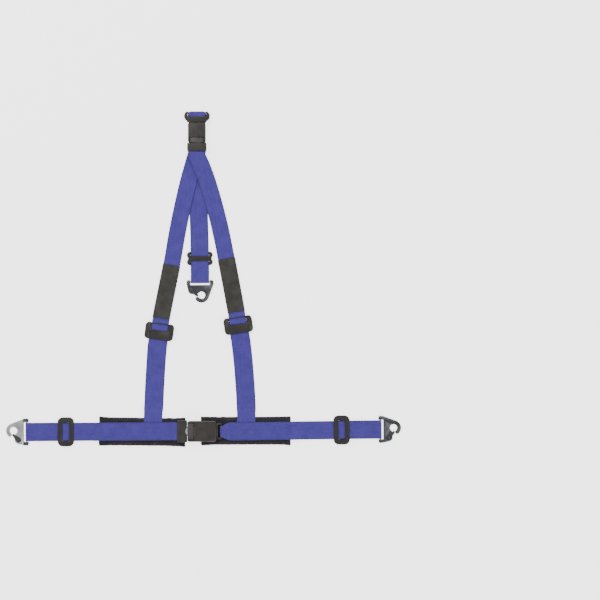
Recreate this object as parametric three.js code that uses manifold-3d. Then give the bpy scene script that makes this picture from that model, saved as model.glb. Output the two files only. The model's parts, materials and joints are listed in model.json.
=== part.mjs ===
// Four-point road harness for motorsport, laid out flat on a floor and seen from above.
// Millimetres, +Z up. +X runs along the lap belt, +Y from the lap belt to the rear strap.
// Webbing lies in layers: each layer is one webbing thickness plus a small clearance.
import * as THREE from 'three';
import { mergeVertices } from 'three/addons/utils/BufferGeometryUtils.js';
import Module from 'manifold-3d';

const wasm = await Module();
wasm.setup();

// ---------------------------------------------------------------- driving dimensions
const GAP = 0.3;
const WEB = { thickness: 1.3, lap: 48.5, upper: 45, lower: 51, neck: 30, rearNeck: 36 };
const LAYER = WEB.thickness + GAP;
const FLOOR = WEB.thickness / 2;

// The round bar that webbing wraps on hooks, sliders and adjusters.
const BAR = { radius: 1.8, height: LAYER + 1.8 };
const BAR_WRAP = BAR.radius + GAP + WEB.thickness / 2;
const TOP = BAR.height + BAR_WRAP;

const PAD = { thickness: 8, width: 81, corner: 4, left: [-265, -30], right: [4.5, 249] };
const ON_PAD = PAD.thickness + GAP + WEB.thickness / 2;
const OVER_PAD = ON_PAD + LAYER;

const HOOK = {
  plate: 3.8, slotHalf: 26, earHalf: 36, earBack: -5, body: 8,
  eye: [35, 4], eyeRadius: 9.6, ringRadius: 20, tipAngle: -50,
  rivet: [22, -21], lobeRadius: 10.5, gateReach: 19.3, gateAngle: 45, gateTravel: 25,
  leftBar: -453, rightBar: 483, rearBar: 395,
};

const LAP_SLIDER = { length: 43, width: 77, leftAt: -349.5, rightAt: 380.5 };
const REAR_SLIDER = { length: 36, width: 68, at: 457 };
const TOP_SLIDER = { length: 26.5, width: 68, at: 833.7, barAt: 843.5, lip: 3.4 };
const SLIDER_HEIGHT = 9.3;
const SLIDER_CLEARANCE = 0.4;

const ADJUSTER = {
  length: 45, width: 76, inner: 26, height: 10.6, leftY: 264, rightY: 281,
  lockRadius: 2.4, lockAt: 5.5, rodAt: -12, lockTravel: 3,
};
const LOCK_HEIGHT = 4.65;
const LOCK_WRAP = ADJUSTER.lockRadius + GAP + WEB.thickness / 2;

// Distances along a shoulder strap, counted from its adjuster's centre towards the apex.
const SHOULDER = { splice: 66, tail: 118, labelFrom: 35, labelTo: 179, labelThickness: 0.6 };

const CENTRE_BUCKLE = {
  x: -27, y: 0.5, z: PAD.thickness + GAP, angle: 0,
  length: 76, width: 55, height: 15, corner: 6,
  tongueTip: 32, tongueHole: [21, 28], buttonBack: 17.5, buttonTravel: 4,
  latch: [22.5, 44], ejectorLength: 8, springEnd: 56, rodAt: 89.3, rodHeight: 3.1,
  rodRadius: 1.5, tailHalf: 22, tailSlotHalf: 17.3,
};
const REAR_BUCKLE = {
  x: -2.5, y: 763, z: LAYER, angle: Math.PI / 2,
  length: 53, width: 47, height: 14, corner: 5,
  tongueTip: 26, tongueHole: [18, 24], buttonBack: 14, buttonTravel: 3.5,
  latch: [19, 36], ejectorLength: 7, springEnd: 43, rodAt: 61, rodHeight: 3.4,
  rodRadius: 1.2, tailHalf: 22, tailSlotHalf: 18.8,
};
const BUCKLE = {
  wall: 2, floor: 2, roof: 1.8, split: 6.1, mouthHalf: 14.8, mouth: [4.4, 8],
  base: [2.3, 4.5], frameHalf: 19, tongue: [4.9, 7.3], tongueHalf: 12,
};

// ---------------------------------------------------------------- materials
const material = (color, roughness, metalness) =>
  new THREE.MeshStandardMaterial({ color, roughness, metalness });
const MATERIAL = {
  webbing: material(0x4a48a5, 0.8, 0),
  pad: material(0x26242a, 0.95, 0),
  label: material(0x2c2a33, 0.85, 0),
  blackMetal: material(0x23221f, 0.45, 0.6),
  darkSteel: material(0x4c4d50, 0.4, 0.9),
  brightSteel: material(0xc4c6c8, 0.3, 0.95),
  plastic: material(0x2b2926, 0.5, 0),
  button: material(0x4a4446, 0.45, 0),
  spring: material(0x9a9ca0, 0.35, 0.9),
};

// ---------------------------------------------------------------- solid helpers
function solidOf(geometry) {
  const bare = geometry.clone();
  bare.deleteAttribute('normal');
  bare.deleteAttribute('uv');
  const merged = mergeVertices(bare, 1e-4);
  return new wasm.Manifold(new wasm.Mesh({
    numProp: 3,
    vertProperties: new Float32Array(merged.attributes.position.array),
    triVerts: new Uint32Array(merged.index.array),
  }));
}

function geometryOf(solid) {
  const mesh = solid.getMesh();
  const geometry = new THREE.BufferGeometry();
  geometry.setAttribute('position', new THREE.BufferAttribute(mesh.vertProperties, 3));
  geometry.setIndex(new THREE.BufferAttribute(mesh.triVerts, 1));
  geometry.computeVertexNormals();
  return geometry;
}

function box(x0, x1, y0, y1, z0, z1) {
  const geometry = new THREE.BoxGeometry(x1 - x0, y1 - y0, z1 - z0);
  geometry.translate((x0 + x1) / 2, (y0 + y1) / 2, (z0 + z1) / 2);
  return solidOf(geometry);
}

function rodAcross(radius, x, z, half, sides = 12) {
  const geometry = new THREE.CylinderGeometry(radius, radius, 2 * half, sides);
  geometry.translate(x, 0, z);
  return solidOf(geometry);
}

function rodUp(radius, x, y, z0, z1, sides = 16) {
  const geometry = new THREE.CylinderGeometry(radius, radius, z1 - z0, sides);
  geometry.rotateX(Math.PI / 2);
  geometry.translate(x, y, (z0 + z1) / 2);
  return solidOf(geometry);
}

function arcPoints([x, y], radius, fromDegrees, toDegrees, steps) {
  return Array.from({ length: steps + 1 }, (_, i) => {
    const angle = THREE.MathUtils.degToRad(fromDegrees + (toDegrees - fromDegrees) * i / steps);
    return new THREE.Vector2(x + radius * Math.cos(angle), y + radius * Math.sin(angle));
  });
}

function slab(points, z0, z1, bevel = 0) {
  const geometry = new THREE.ExtrudeGeometry(new THREE.Shape(points), {
    depth: z1 - z0 - 2 * bevel, bevelEnabled: bevel > 0, bevelThickness: bevel,
    bevelSize: bevel, bevelOffset: -bevel, bevelSegments: 1,
  });
  geometry.translate(0, 0, z0 + bevel);
  return solidOf(geometry);
}

function roundedRectangle(x0, x1, y0, y1, radius, steps = 4) {
  return [
    ...arcPoints([x1 - radius, y0 + radius], radius, -90, 0, steps),
    ...arcPoints([x1 - radius, y1 - radius], radius, 0, 90, steps),
    ...arcPoints([x0 + radius, y1 - radius], radius, 90, 180, steps),
    ...arcPoints([x0 + radius, y0 + radius], radius, 180, 270, steps),
  ];
}

// The outline around two circles of different radii, joined by their outer tangents.
function taperedOutline(from, fromRadius, to, toRadius) {
  const heading = Math.atan2(to[1] - from[1], to[0] - from[0]);
  const spread = Math.acos((fromRadius - toRadius) / Math.hypot(to[0] - from[0], to[1] - from[1]));
  const degrees = THREE.MathUtils.radToDeg;
  const [low, high] = [degrees(heading - spread), degrees(heading + spread)];
  return [
    ...arcPoints(to, toRadius, low, high, 5),
    ...arcPoints(from, fromRadius, high, low + 360, 8),
  ];
}

// ---------------------------------------------------------------- webbing
// A plan is a strap's centreline on the floor. Distances along it are in millimetres.
class Plan {
  constructor(points) {
    const places = points.map(([x, y]) => new THREE.Vector3(x, y, 0));
    this.curve = new THREE.CatmullRomCurve3(places, false, 'centripetal');
    this.curve.arcLengthDivisions = 400;
    this.length = this.curve.getLength();
  }

  direction(distance) {
    return this.curve.getTangentAt(THREE.MathUtils.clamp(distance / this.length, 0, 1));
  }

  point(distance) {
    const inside = THREE.MathUtils.clamp(distance, 0, this.length);
    const place = this.curve.getPointAt(inside / this.length);
    return place.addScaledVector(this.direction(distance), distance - inside);
  }

  distanceAtY(y) {
    let [low, high] = [0, this.length];
    for (let i = 0; i < 40; i += 1) {
      const middle = (low + high) / 2;
      if (this.point(middle).y < y) low = middle;
      else high = middle;
    }
    return (low + high) / 2;
  }

  frame(distance, turned = false) {
    const heading = this.direction(distance);
    const angle = Math.atan2(heading.y, heading.x) + (turned ? Math.PI : 0);
    const { x, y } = this.point(distance);
    return { x, y, z: 0, angle };
  }
}

// A profile is a list of [distance, height] pairs, made of level runs, ramps and wraps.
function level(from, to, height, step = 24) {
  const count = Math.max(1, Math.ceil(Math.abs(to - from) / step));
  return Array.from({ length: count + 1 }, (_, i) => [from + (to - from) * i / count, height]);
}

function ramp(from, fromHeight, to, toHeight, steps = 6) {
  return Array.from({ length: steps + 1 }, (_, i) => {
    const share = i / steps;
    const eased = share * share * (3 - 2 * share);
    return [from + (to - from) * share, fromHeight + (toHeight - fromHeight) * eased];
  });
}

function wrap(distance, height, radius, fromDegrees, toDegrees, steps = 10) {
  return arcPoints([distance, height], radius, fromDegrees, toDegrees, steps)
    .map((point) => [point.x, point.y]);
}

function route(...stretches) {
  const all = stretches.flat();
  return all.filter(([a, z], i) => i === 0 || Math.hypot(a - all[i - 1][0], z - all[i - 1][1]) > 0.02);
}

function ribbon(plan, profile, width, thickness = WEB.thickness) {
  const widthAt = typeof width === 'function' ? width : () => width;
  const centres = profile.map(([a, z]) => plan.point(a).setZ(z));
  const positions = [];
  const index = [];
  centres.forEach((centre, i) => {
    const before = centres[Math.max(i - 1, 0)];
    const after = centres[Math.min(i + 1, centres.length - 1)];
    const along = after.clone().sub(before).normalize();
    const heading = plan.direction(profile[i][0]);
    const across = new THREE.Vector3(-heading.y, heading.x, 0);
    const up = along.clone().cross(across).normalize().multiplyScalar(thickness / 2);
    const side = across.multiplyScalar(widthAt(...profile[i]) / 2);
    for (const [s, u] of [[1, 1], [-1, 1], [-1, -1], [1, -1]]) {
      const corner = centre.clone().addScaledVector(side, s).addScaledVector(up, u);
      positions.push(corner.x, corner.y, corner.z);
    }
  });
  const quad = (a, b, c, d) => index.push(a, b, c, a, c, d);
  for (let i = 0; i < centres.length - 1; i += 1) {
    for (let k = 0; k < 4; k += 1) {
      const [near, nearNext] = [4 * i + k, 4 * i + (k + 1) % 4];
      quad(near, nearNext, nearNext + 4, near + 4);
    }
  }
  const last = 4 * (centres.length - 1);
  quad(3, 2, 1, 0);
  quad(last, last + 1, last + 2, last + 3);
  const geometry = new THREE.BufferGeometry();
  geometry.setAttribute('position', new THREE.Float32BufferAttribute(positions, 3));
  geometry.setIndex(index);
  return geometry;
}

// ---------------------------------------------------------------- the object
const harness = new THREE.Group();

function add(name, shape, look, place = { x: 0, y: 0, z: 0, angle: 0 }) {
  const geometry = shape.isBufferGeometry ? shape : geometryOf(shape);
  geometry.computeVertexNormals();
  const mesh = new THREE.Mesh(geometry, look.clone());
  mesh.name = name;
  mesh.position.set(place.x, place.y, place.z);
  mesh.rotation.z = place.angle;
  harness.add(mesh);
}

// ---------------------------------------------------------------- snap hooks
// Local frame: the bar lies along y at the origin and the nose points along +x. With mirror 1
// the spring gate is on the -y side, with mirror -1 on the +y side.
const HOOK_FLOOR = BAR.height - HOOK.plate / 2;
const HOOK_TOP = BAR.height + HOOK.plate / 2;
const GATE = { floor: HOOK_FLOOR + 1.7, thickness: 1.4, rootRadius: 6.6, tipRadius: 3.2 };
const mirrored = (points, mirror) => points.map((p) => new THREE.Vector2(p.x, p.y * mirror));

function hookOutline() {
  const point = (x, y) => new THREE.Vector2(x, y);
  const [ex, ey] = HOOK.eye;
  const capRadius = (HOOK.ringRadius - HOOK.eyeRadius) / 2;
  const capReach = HOOK.eyeRadius + capRadius;
  const tip = THREE.MathUtils.degToRad(HOOK.tipAngle);
  const cap = [ex + capReach * Math.cos(tip), ey + capReach * Math.sin(tip)];
  const earRound = 5;
  return [
    point(HOOK.body, -HOOK.slotHalf), point(HOOK.body, HOOK.slotHalf),
    point(HOOK.earBack, HOOK.slotHalf),
    ...arcPoints([0, HOOK.earHalf - earRound], earRound, 180, 90, 5),
    point(8, 35.4), point(13, 33.4),
    ...arcPoints(HOOK.eye, HOOK.ringRadius, 68.6, HOOK.tipAngle, 12),
    ...arcPoints(cap, capRadius, HOOK.tipAngle, HOOK.tipAngle - 180, 6).slice(1, -1),
    ...arcPoints(HOOK.eye, HOOK.eyeRadius, HOOK.tipAngle, 245, 18),
    ...arcPoints(HOOK.rivet, HOOK.lobeRadius, 35, -72, 8),
    point(13, -34),
    ...arcPoints([0, -HOOK.earHalf + earRound], earRound, -90, -180, 5),
    point(HOOK.earBack, -HOOK.slotHalf),
  ];
}

function gateOutline(extraDegrees = 0, clearance = 0) {
  const angle = THREE.MathUtils.degToRad(HOOK.gateAngle + extraDegrees);
  const [rx, ry] = HOOK.rivet;
  const end = [rx + HOOK.gateReach * Math.cos(angle), ry + HOOK.gateReach * Math.sin(angle)];
  return taperedOutline(HOOK.rivet, GATE.rootRadius + clearance, end, GATE.tipRadius + clearance);
}

function hookPlate(mirror) {
  const [rx, ry] = [HOOK.rivet[0], HOOK.rivet[1] * mirror];
  let plate = slab(mirrored(hookOutline(), mirror), HOOK_FLOOR, HOOK_TOP, 0.5);
  plate = plate.add(rodAcross(BAR.radius, 0, BAR.height, HOOK.earHalf - 5));
  const sweepSteps = 3;
  for (let i = 0; i <= sweepSteps; i += 1) {
    const swept = mirrored(gateOutline(HOOK.gateTravel * i / sweepSteps, 0.5), mirror);
    plate = plate.subtract(slab(swept, GATE.floor - GAP, HOOK_TOP + 1));
  }
  plate = plate.subtract(rodUp(4.6, rx, ry, HOOK_FLOOR + 0.7, GATE.floor));
  return plate.subtract(rodUp(2.5, rx, ry, HOOK_FLOOR - 1, GATE.floor));
}

function hookGate(mirror) {
  const [rx, ry] = [HOOK.rivet[0], HOOK.rivet[1] * mirror];
  const lever = slab(mirrored(gateOutline(), mirror), GATE.floor, GATE.floor + GATE.thickness);
  return lever.subtract(rodUp(2.5, rx, ry, GATE.floor - 1, GATE.floor + GATE.thickness + 1));
}

function hookRivet(mirror) {
  const [rx, ry] = [HOOK.rivet[0], HOOK.rivet[1] * mirror];
  const head = rodUp(3.8, rx, ry, GATE.floor + GATE.thickness + 0.2, HOOK_TOP);
  return rodUp(2.2, rx, ry, HOOK_FLOOR, HOOK_TOP).add(head);
}

function gateSpring(mirror) {
  const [rx, ry] = [HOOK.rivet[0], HOOK.rivet[1] * mirror];
  const coil = rodUp(4.2, rx, ry, HOOK_FLOOR + 0.85, GATE.floor - GAP - 0.1);
  return coil.subtract(rodUp(2.8, rx, ry, HOOK_FLOOR, GATE.floor));
}

function addHook(side, place, mirror, look) {
  add(`${side}_hook_plate`, hookPlate(mirror), look, place);
  add(`${side}_hook_gate`, hookGate(mirror), MATERIAL.darkSteel, place);
  add(`${side}_hook_rivet`, hookRivet(mirror), look, place);
  add(`${side}_hook_spring`, gateSpring(mirror), MATERIAL.spring, place);
}

// ---------------------------------------------------------------- sliders and adjusters
// Local frame: x runs along the strap, y across it.
function waisted(outline, width, depth, radius) {
  const reach = width / 2 + radius - depth;
  return [-1, 1].reduce(
    (solid, side) => solid.subtract(rodUp(radius, 0, side * reach, -1, SLIDER_HEIGHT + 2)), outline);
}

function rails(length, width, inner, height, corner) {
  const outline = roundedRectangle(-length / 2, length / 2, -width / 2, width / 2, corner);
  return slab(outline, 0, height, 1.2)
    .subtract(box(-length, length, -inner, inner, -1, height + 1));
}

function crossBar(x0, x1, half, z0, z1) {
  return slab(roundedRectangle(x0, x1, -half, half, 0.8, 2), z0, z1, 0.5);
}

function lapSlider() {
  const { length, width } = LAP_SLIDER;
  const inner = WEB.lap / 2 + SLIDER_CLEARANCE;
  const end = length / 2;
  const overBar = TOP + LAYER / 2;
  const barWidth = 12.5;
  return rails(length, width, inner, SLIDER_HEIGHT, 13)
    .add(crossBar(-end + 0.6, -end + barWidth, inner + 3, overBar, SLIDER_HEIGHT))
    .add(crossBar(end - barWidth, end - 0.6, inner + 3, overBar, SLIDER_HEIGHT))
    .add(crossBar(-4, 4, inner + 3, LAYER, LAYER + 2));
}

function rearSlider() {
  const { length, width } = REAR_SLIDER;
  const inner = WEB.lap / 2 + SLIDER_CLEARANCE;
  const end = length / 2;
  const frame = waisted(rails(length, width, inner, SLIDER_HEIGHT, 8), width, 3, 9);
  return frame
    .add(crossBar(-end + 1, -end + 7, inner + 3, LAYER, LAYER + 2))
    .add(crossBar(end - 7, end - 1, inner + 3, LAYER, LAYER + 3))
    .add(crossBar(-6.5, 6.5, inner + 3, TOP + LAYER / 2, SLIDER_HEIGHT));
}

function topSlider() {
  const { length, width, at, barAt, lip } = TOP_SLIDER;
  const inner = WEB.lap / 2 + SLIDER_CLEARANCE;
  return rails(length, width, inner, SLIDER_HEIGHT + 1, 12)
    .add(rodAcross(BAR.radius, barAt - at, BAR.height, inner + 3))
    .add(crossBar(-length / 2 - lip, -length / 2 + 12.5, inner + 1.5, 8.2, SLIDER_HEIGHT + 1));
}

function adjusterFrame() {
  const { length, width, height, lockAt, lockRadius, lockTravel, rodAt } = ADJUSTER;
  const { inner } = ADJUSTER;
  const end = length / 2;
  const slot = lockRadius + 0.6;
  const lockZ = [LOCK_HEIGHT - slot, LOCK_HEIGHT + slot];
  const cheek = WEB.upper / 2 + 0.5;
  return rails(length, width, inner, height, 10)
    .add(crossBar(end - 8.5, end - 1.2, inner + 3, 3, 7))
    .add(crossBar(end - 3.4, end - 0.6, inner + 3, height - 1.7, height))
    .add(crossBar(-end + 0.6, 2.2, inner + 3, 7.4, height - 1))
    .add(box(-6, end - 2, cheek, inner + 1, 0.6, height - 1.2))
    .add(box(-6, end - 2, -inner - 1, -cheek, 0.6, height - 1.2))
    .add(rodAcross(BAR.radius, rodAt, BAR.height, inner + 3))
    .subtract(box(lockAt - slot, lockAt + lockTravel + slot, -inner - 4, inner + 4, ...lockZ));
}

const lockBar = () => rodAcross(ADJUSTER.lockRadius, ADJUSTER.lockAt, LOCK_HEIGHT, WEB.lower / 2 + 4, 20);

// ---------------------------------------------------------------- press-button buckles
// Local frame: the tongue enters at x = 0 and moves along +x. z = 0 is the underside.
function buckleBlock(b) {
  const outline = roundedRectangle(0, b.length, -b.width / 2, b.width / 2, b.corner);
  return slab(outline, 0, b.height, 2.2);
}

function lowerShell(b) {
  const { wall, floor, split, mouthHalf, mouth, base } = BUCKLE;
  const half = b.width / 2;
  return buckleBlock(b)
    .intersect(box(-1, b.length + 1, -half - 1, half + 1, -1, split - GAP / 2))
    .subtract(box(wall, b.length - wall, -half + wall, half - wall, floor, split + 1))
    .subtract(box(-1, wall + 1, -mouthHalf, mouthHalf, mouth[0], split + 1))
    .subtract(box(b.length - wall - 1, b.length + 1, -BUCKLE.frameHalf - 0.5, BUCKLE.frameHalf + 0.5,
      base[0] - GAP, split + 1));
}

function upperShell(b) {
  const { wall, roof, split, mouthHalf, mouth } = BUCKLE;
  const half = b.width / 2;
  const sill = half - 4.6;
  return buckleBlock(b)
    .intersect(box(-1, b.length + 1, -half - 1, half + 1, split + GAP / 2, b.height + 1))
    .subtract(box(wall, b.length - wall, -half + wall, half - wall, split - 1, b.height - roof))
    .subtract(box(-1, b.buttonBack + 1, -sill, sill, mouth[1], b.height + 1))
    .subtract(box(-1, wall + 1, -mouthHalf, mouthHalf, split - 1, mouth[1] + 0.5));
}

function buckleFrame(b) {
  const { base, frameHalf } = BUCKLE;
  const cheek = 2;
  const cheekFrom = b.buttonBack + b.buttonTravel + 0.6;
  const tabs = b.buttonBack + b.latch[0] - 7;
  let frame = box(3, b.length + 1, -frameHalf, frameHalf, ...base)
    .add(box(cheekFrom, b.length - 8, frameHalf - cheek, frameHalf, base[0], 9.6))
    .add(box(cheekFrom, b.length - 8, -frameHalf, -frameHalf + cheek, base[0], 9.6))
    .add(box(tabs, tabs + 1.6, 12, frameHalf - 1, base[0], 12))
    .add(box(b.springEnd + GAP, b.springEnd + 2, -6, 6, base[0], 7.6));
  const tail = roundedRectangle(b.length + GAP, b.rodAt + b.rodRadius, -b.tailHalf, b.tailHalf, 1.5, 3);
  frame = frame.add(slab(tail, ...base));
  const slotFrom = Math.max(b.length + 1.5, b.rodAt - 9);
  return frame
    .subtract(box(slotFrom, b.rodAt + 5, -b.tailSlotHalf, b.tailSlotHalf, 0, 6))
    .add(rodAcross(b.rodRadius, b.rodAt, b.rodHeight, b.tailSlotHalf + 1.5));
}

function buckleButton(b) {
  const half = b.width / 2 - 5.2;
  const outline = roundedRectangle(0.6, b.buttonBack, -half, half, 1.5, 3);
  return slab(outline, BUCKLE.mouth[1] + 0.4, b.height - BUCKLE.roof - 0.4, 0.6);
}

function buckleLatch(b) {
  const [front, pivot] = b.latch;
  return box(front, pivot, -11, 11, 8, 10)
    .add(box(front, front + 4, -6, 6, BUCKLE.tongue[1] + GAP, 8.5))
    .add(rodAcross(1.5, pivot, 9, BUCKLE.frameHalf - 2.4));
}

function buckleEjector(b) {
  const [front, back] = [b.tongueTip + 0.4, b.tongueTip + b.ejectorLength];
  return slab(roundedRectangle(front, back, -10, 10, 1, 2), BUCKLE.base[1] + GAP, 7.4);
}

function coilSpring(from, to, y, z, radius, wire, turns) {
  const perTurn = 8;
  const points = Array.from({ length: turns * perTurn + 1 }, (_, i) => {
    const angle = 2 * Math.PI * i / perTurn;
    const along = from + wire + (to - from - 2 * wire) * i / (turns * perTurn);
    return new THREE.Vector3(along, y + radius * Math.cos(angle), z + radius * Math.sin(angle));
  });
  const section = new THREE.Shape(arcPoints([0, 0], wire, 0, 270, 3));
  return new THREE.ExtrudeGeometry(section, {
    steps: turns * perTurn, bevelEnabled: false, extrudePath: new THREE.CatmullRomCurve3(points),
  });
}

function addBuckle(side, b) {
  add(`${side}_buckle_lower_shell`, lowerShell(b), MATERIAL.plastic, b);
  add(`${side}_buckle_upper_shell`, upperShell(b), MATERIAL.plastic, b);
  add(`${side}_buckle_frame`, buckleFrame(b), MATERIAL.blackMetal, b);
  add(`${side}_buckle_button`, buckleButton(b), MATERIAL.button, b);
  add(`${side}_buckle_latch`, buckleLatch(b), MATERIAL.darkSteel, b);
  add(`${side}_buckle_ejector`, buckleEjector(b), MATERIAL.plastic, b);
  const tabs = b.buttonBack + b.latch[0] - 7;
  const buttonSpring = coilSpring(b.buttonBack + 0.3, tabs - 0.3, 14.2, 10.2, 1.6, 0.3, 5);
  add(`${side}_buckle_button_spring`, buttonSpring, MATERIAL.spring, b);
  const ejected = b.tongueTip + b.ejectorLength;
  const ejectorSpring = coilSpring(ejected + 0.3, b.springEnd, 0, 6.1, 1.1, 0.3, 6);
  add(`${side}_buckle_ejector_spring`, ejectorSpring, MATERIAL.spring, b);
}

// ---------------------------------------------------------------- tongues
// The tongue plate is cranked: its webbing bar lies lower than its blade.
function tonguePlate(b, t) {
  const { tongue, tongueHalf } = BUCKLE;
  const nose = roundedRectangle(t.rise, b.tongueTip, -tongueHalf, tongueHalf, 4, 5);
  const blade = slab(nose, ...tongue)
    .add(box(t.rise, t.rise + 6, -tongueHalf, tongueHalf, ...tongue))
    .subtract(box(...b.tongueHole, -6, 6, 0, b.height));
  const low = Math.min(t.root[0], tongue[0]);
  const heel = slab(roundedRectangle(t.bar - 3, t.rise + 1, -t.half, t.half, 3, 4), ...t.root);
  return blade
    .add(heel)
    .add(box(t.rise, t.rise + 3, -tongueHalf, tongueHalf, low, tongue[1]))
    .subtract(box(t.bar - 5, t.slotEnd, -t.slotHalf, t.slotHalf, -5, 12))
    .add(rodAcross(t.rodRadius, t.bar, t.barHeight, t.half - 1.2));
}

function tongueCover(b, t) {
  const half = t.half + 1;
  const [from, to] = t.cover;
  const outline = roundedRectangle(from, to, -half, half, 2, 4);
  const room = BUCKLE.tongue[1] + GAP;
  const cover = slab(outline, t.coverFloor, t.coverTop, 1)
    .subtract(box(from - 1, to + 1, -t.half - GAP, t.half + GAP, -9, t.pocketTop))
    .subtract(box(to - 4, to + 1, -BUCKLE.tongueHalf - GAP, BUCKLE.tongueHalf + GAP, -9, room));
  return t.notch ? cover.subtract(rodUp(t.notch.radius, t.notch.x, 0, 0, b.height, 32)) : cover;
}

const CENTRE_TONGUE = {
  half: 28, slotHalf: 25.2, bar: -23.5, rodRadius: 1.5, barHeight: 3.1, root: [2, 4.2], slotEnd: -16.5,
  rise: -15, cover: [-27, -0.4], coverFloor: 1.6, coverTop: 10, pocketTop: 8,
  notch: { radius: 15, x: 8.6 },
};
const REAR_TONGUE = {
  half: 24.6, slotHalf: 23, bar: -24.5, rodRadius: 1.3, barHeight: 6.1, root: [4.9, 7.3], slotEnd: -17.8,
  rise: -16.5, cover: [-21.8, -0.4], coverFloor: 3, coverTop: 11.6, pocketTop: 7.6,
};

// ---------------------------------------------------------------- strap centrelines
const leftLap = new Plan([[-50.5, 0.5], [HOOK.leftBar, -2.5]]);
const rightLap = new Plan([[62.3, -0.5], [HOOK.rightBar, 4.5]]);
const rearPlan = new Plan([
  [5.5, HOOK.rearBar], [5, 470], [0, 640], [-2.5, 740], [-2.5, 770], [-2.5, TOP_SLIDER.barAt],
]);
const leftShoulder = new Plan([
  [-119, -20], [-118, 40], [-113, 150], [-107.9, 222], [-105.6, 238], [-98.4, 290], [-96.1, 306],
  [-70, 438], [-52, 540], [-28, 650], [-10, 715], [-2.5, 741],
]);
const rightShoulder = new Plan([
  [127, -20], [128, 57], [121, 170], [113.7, 238], [111.2, 254], [103, 307], [100.6, 322],
  [76, 453], [54, 558], [27, 655], [10, 702], [0, 724], [-2.5, 733], [-2.5, 738.5],
]);

// ---------------------------------------------------------------- lap belt
function lapRoute(plan, padEnd, returnFrom, wrapHeight, rodRadius) {
  const wrapRadius = rodRadius + GAP + WEB.thickness / 2;
  const hookAt = plan.length;
  return route(
    level(returnFrom, 0, wrapHeight - wrapRadius),
    wrap(0, wrapHeight, wrapRadius, -90, -270),
    ramp(2, wrapHeight + wrapRadius, 16, OVER_PAD),
    level(16, padEnd, OVER_PAD),
    ramp(padEnd, OVER_PAD, padEnd + 20, TOP),
    level(padEnd + 20, hookAt, TOP),
    wrap(hookAt, BAR.height, BAR_WRAP, 90, -90),
    level(hookAt, hookAt - 6, FLOOR),
  );
}

// The strap's end comes back from the hook under itself and is sewn round the slider's bar.
function returnRoute(hookAt, barAt, barHeight) {
  const radius = 1 + GAP + WEB.thickness / 2;
  const away = Math.sign(barAt - hookAt);
  const [from, to] = away > 0 ? [-90, 90] : [-90, -270];
  const edge = barAt + 2.9 * away;
  return route(
    level(hookAt + 6.3 * away, edge, FLOOR),
    wrap(edge, barHeight, radius, from, to, 8),
    level(edge, edge - 18 * away, barHeight + radius),
    ramp(edge - 18 * away, barHeight + radius, edge - 28 * away, FLOOR + LAYER, 4),
    level(edge - 28 * away, edge - 34 * away, FLOOR + LAYER),
  );
}

const fromTongue = (x) => leftLap.point(0).x - x;
const fromBuckle = (x) => x - rightLap.point(0).x;
const wrapHeight = CENTRE_BUCKLE.z + CENTRE_BUCKLE.rodHeight;
const leftPadEnd = fromTongue(PAD.left[0]) + 1;
const rightPadEnd = fromBuckle(PAD.right[1]) + 1;
const neckWidth = (distance) =>
  WEB.neck + (WEB.lap - WEB.neck) * THREE.MathUtils.clamp((distance - 2) / 20, 0, 1);

add('left_lap_webbing', ribbon(leftLap, lapRoute(leftLap, leftPadEnd, 38, wrapHeight, 1.5), WEB.lap),
  MATERIAL.webbing);
add('right_lap_webbing',
  ribbon(rightLap, lapRoute(rightLap, rightPadEnd, 34, wrapHeight, CENTRE_BUCKLE.rodRadius), neckWidth),
  MATERIAL.webbing);

const leftSliderAt = fromTongue(LAP_SLIDER.leftAt);
const rightSliderAt = fromBuckle(LAP_SLIDER.rightAt);
const centreBarHeight = LAYER + 1;
add('left_lap_return_webbing',
  ribbon(leftLap, returnRoute(leftLap.length, leftSliderAt, centreBarHeight), WEB.lap), MATERIAL.webbing);
add('right_lap_return_webbing',
  ribbon(rightLap, returnRoute(rightLap.length, rightSliderAt, centreBarHeight), WEB.lap), MATERIAL.webbing);
add('left_lap_slider', lapSlider(), MATERIAL.blackMetal, leftLap.frame(leftSliderAt));
add('right_lap_slider', lapSlider(), MATERIAL.blackMetal, rightLap.frame(rightSliderAt));
addHook('left', leftLap.frame(leftLap.length), -1, MATERIAL.brightSteel);
addHook('right', rightLap.frame(rightLap.length), 1, MATERIAL.darkSteel);

function addPad(name, [x0, x1], y, tilt) {
  const half = (x1 - x0) / 2;
  const outline = roundedRectangle(-half, half, -PAD.width / 2, PAD.width / 2, PAD.corner);
  const place = { x: (x0 + x1) / 2, y, z: 0, angle: tilt };
  add(name, slab(outline, 0, PAD.thickness, 2), MATERIAL.pad, place);
}
addPad('left_pad', PAD.left, -1.5, -0.012);
addPad('right_pad', PAD.right, 1, 0.003);

// ---------------------------------------------------------------- shoulder straps
// Height of a shoulder strap above its adjuster, where its spare end lies beneath it.
function overAdjuster(distance) {
  const [flat, risen, top] = [34, 24, LOCK_HEIGHT + LOCK_WRAP];
  const share = THREE.MathUtils.clamp((flat - distance) / (flat - risen), 0, 1);
  const settled = THREE.MathUtils.clamp((distance - SHOULDER.tail - 6) / 24, 0, 1);
  const low = FLOOR + LAYER * (1 - settled * settled * (3 - 2 * settled));
  return low + (top - low) * share * share * (3 - 2 * share);
}

function follow(centre, from, to, raise = 0, step = 6) {
  const count = Math.ceil(Math.abs(to - from) / step);
  return Array.from({ length: count + 1 }, (_, i) => {
    const distance = from + (to - from) * i / count;
    return [centre + distance, overAdjuster(distance) + raise];
  });
}

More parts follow.
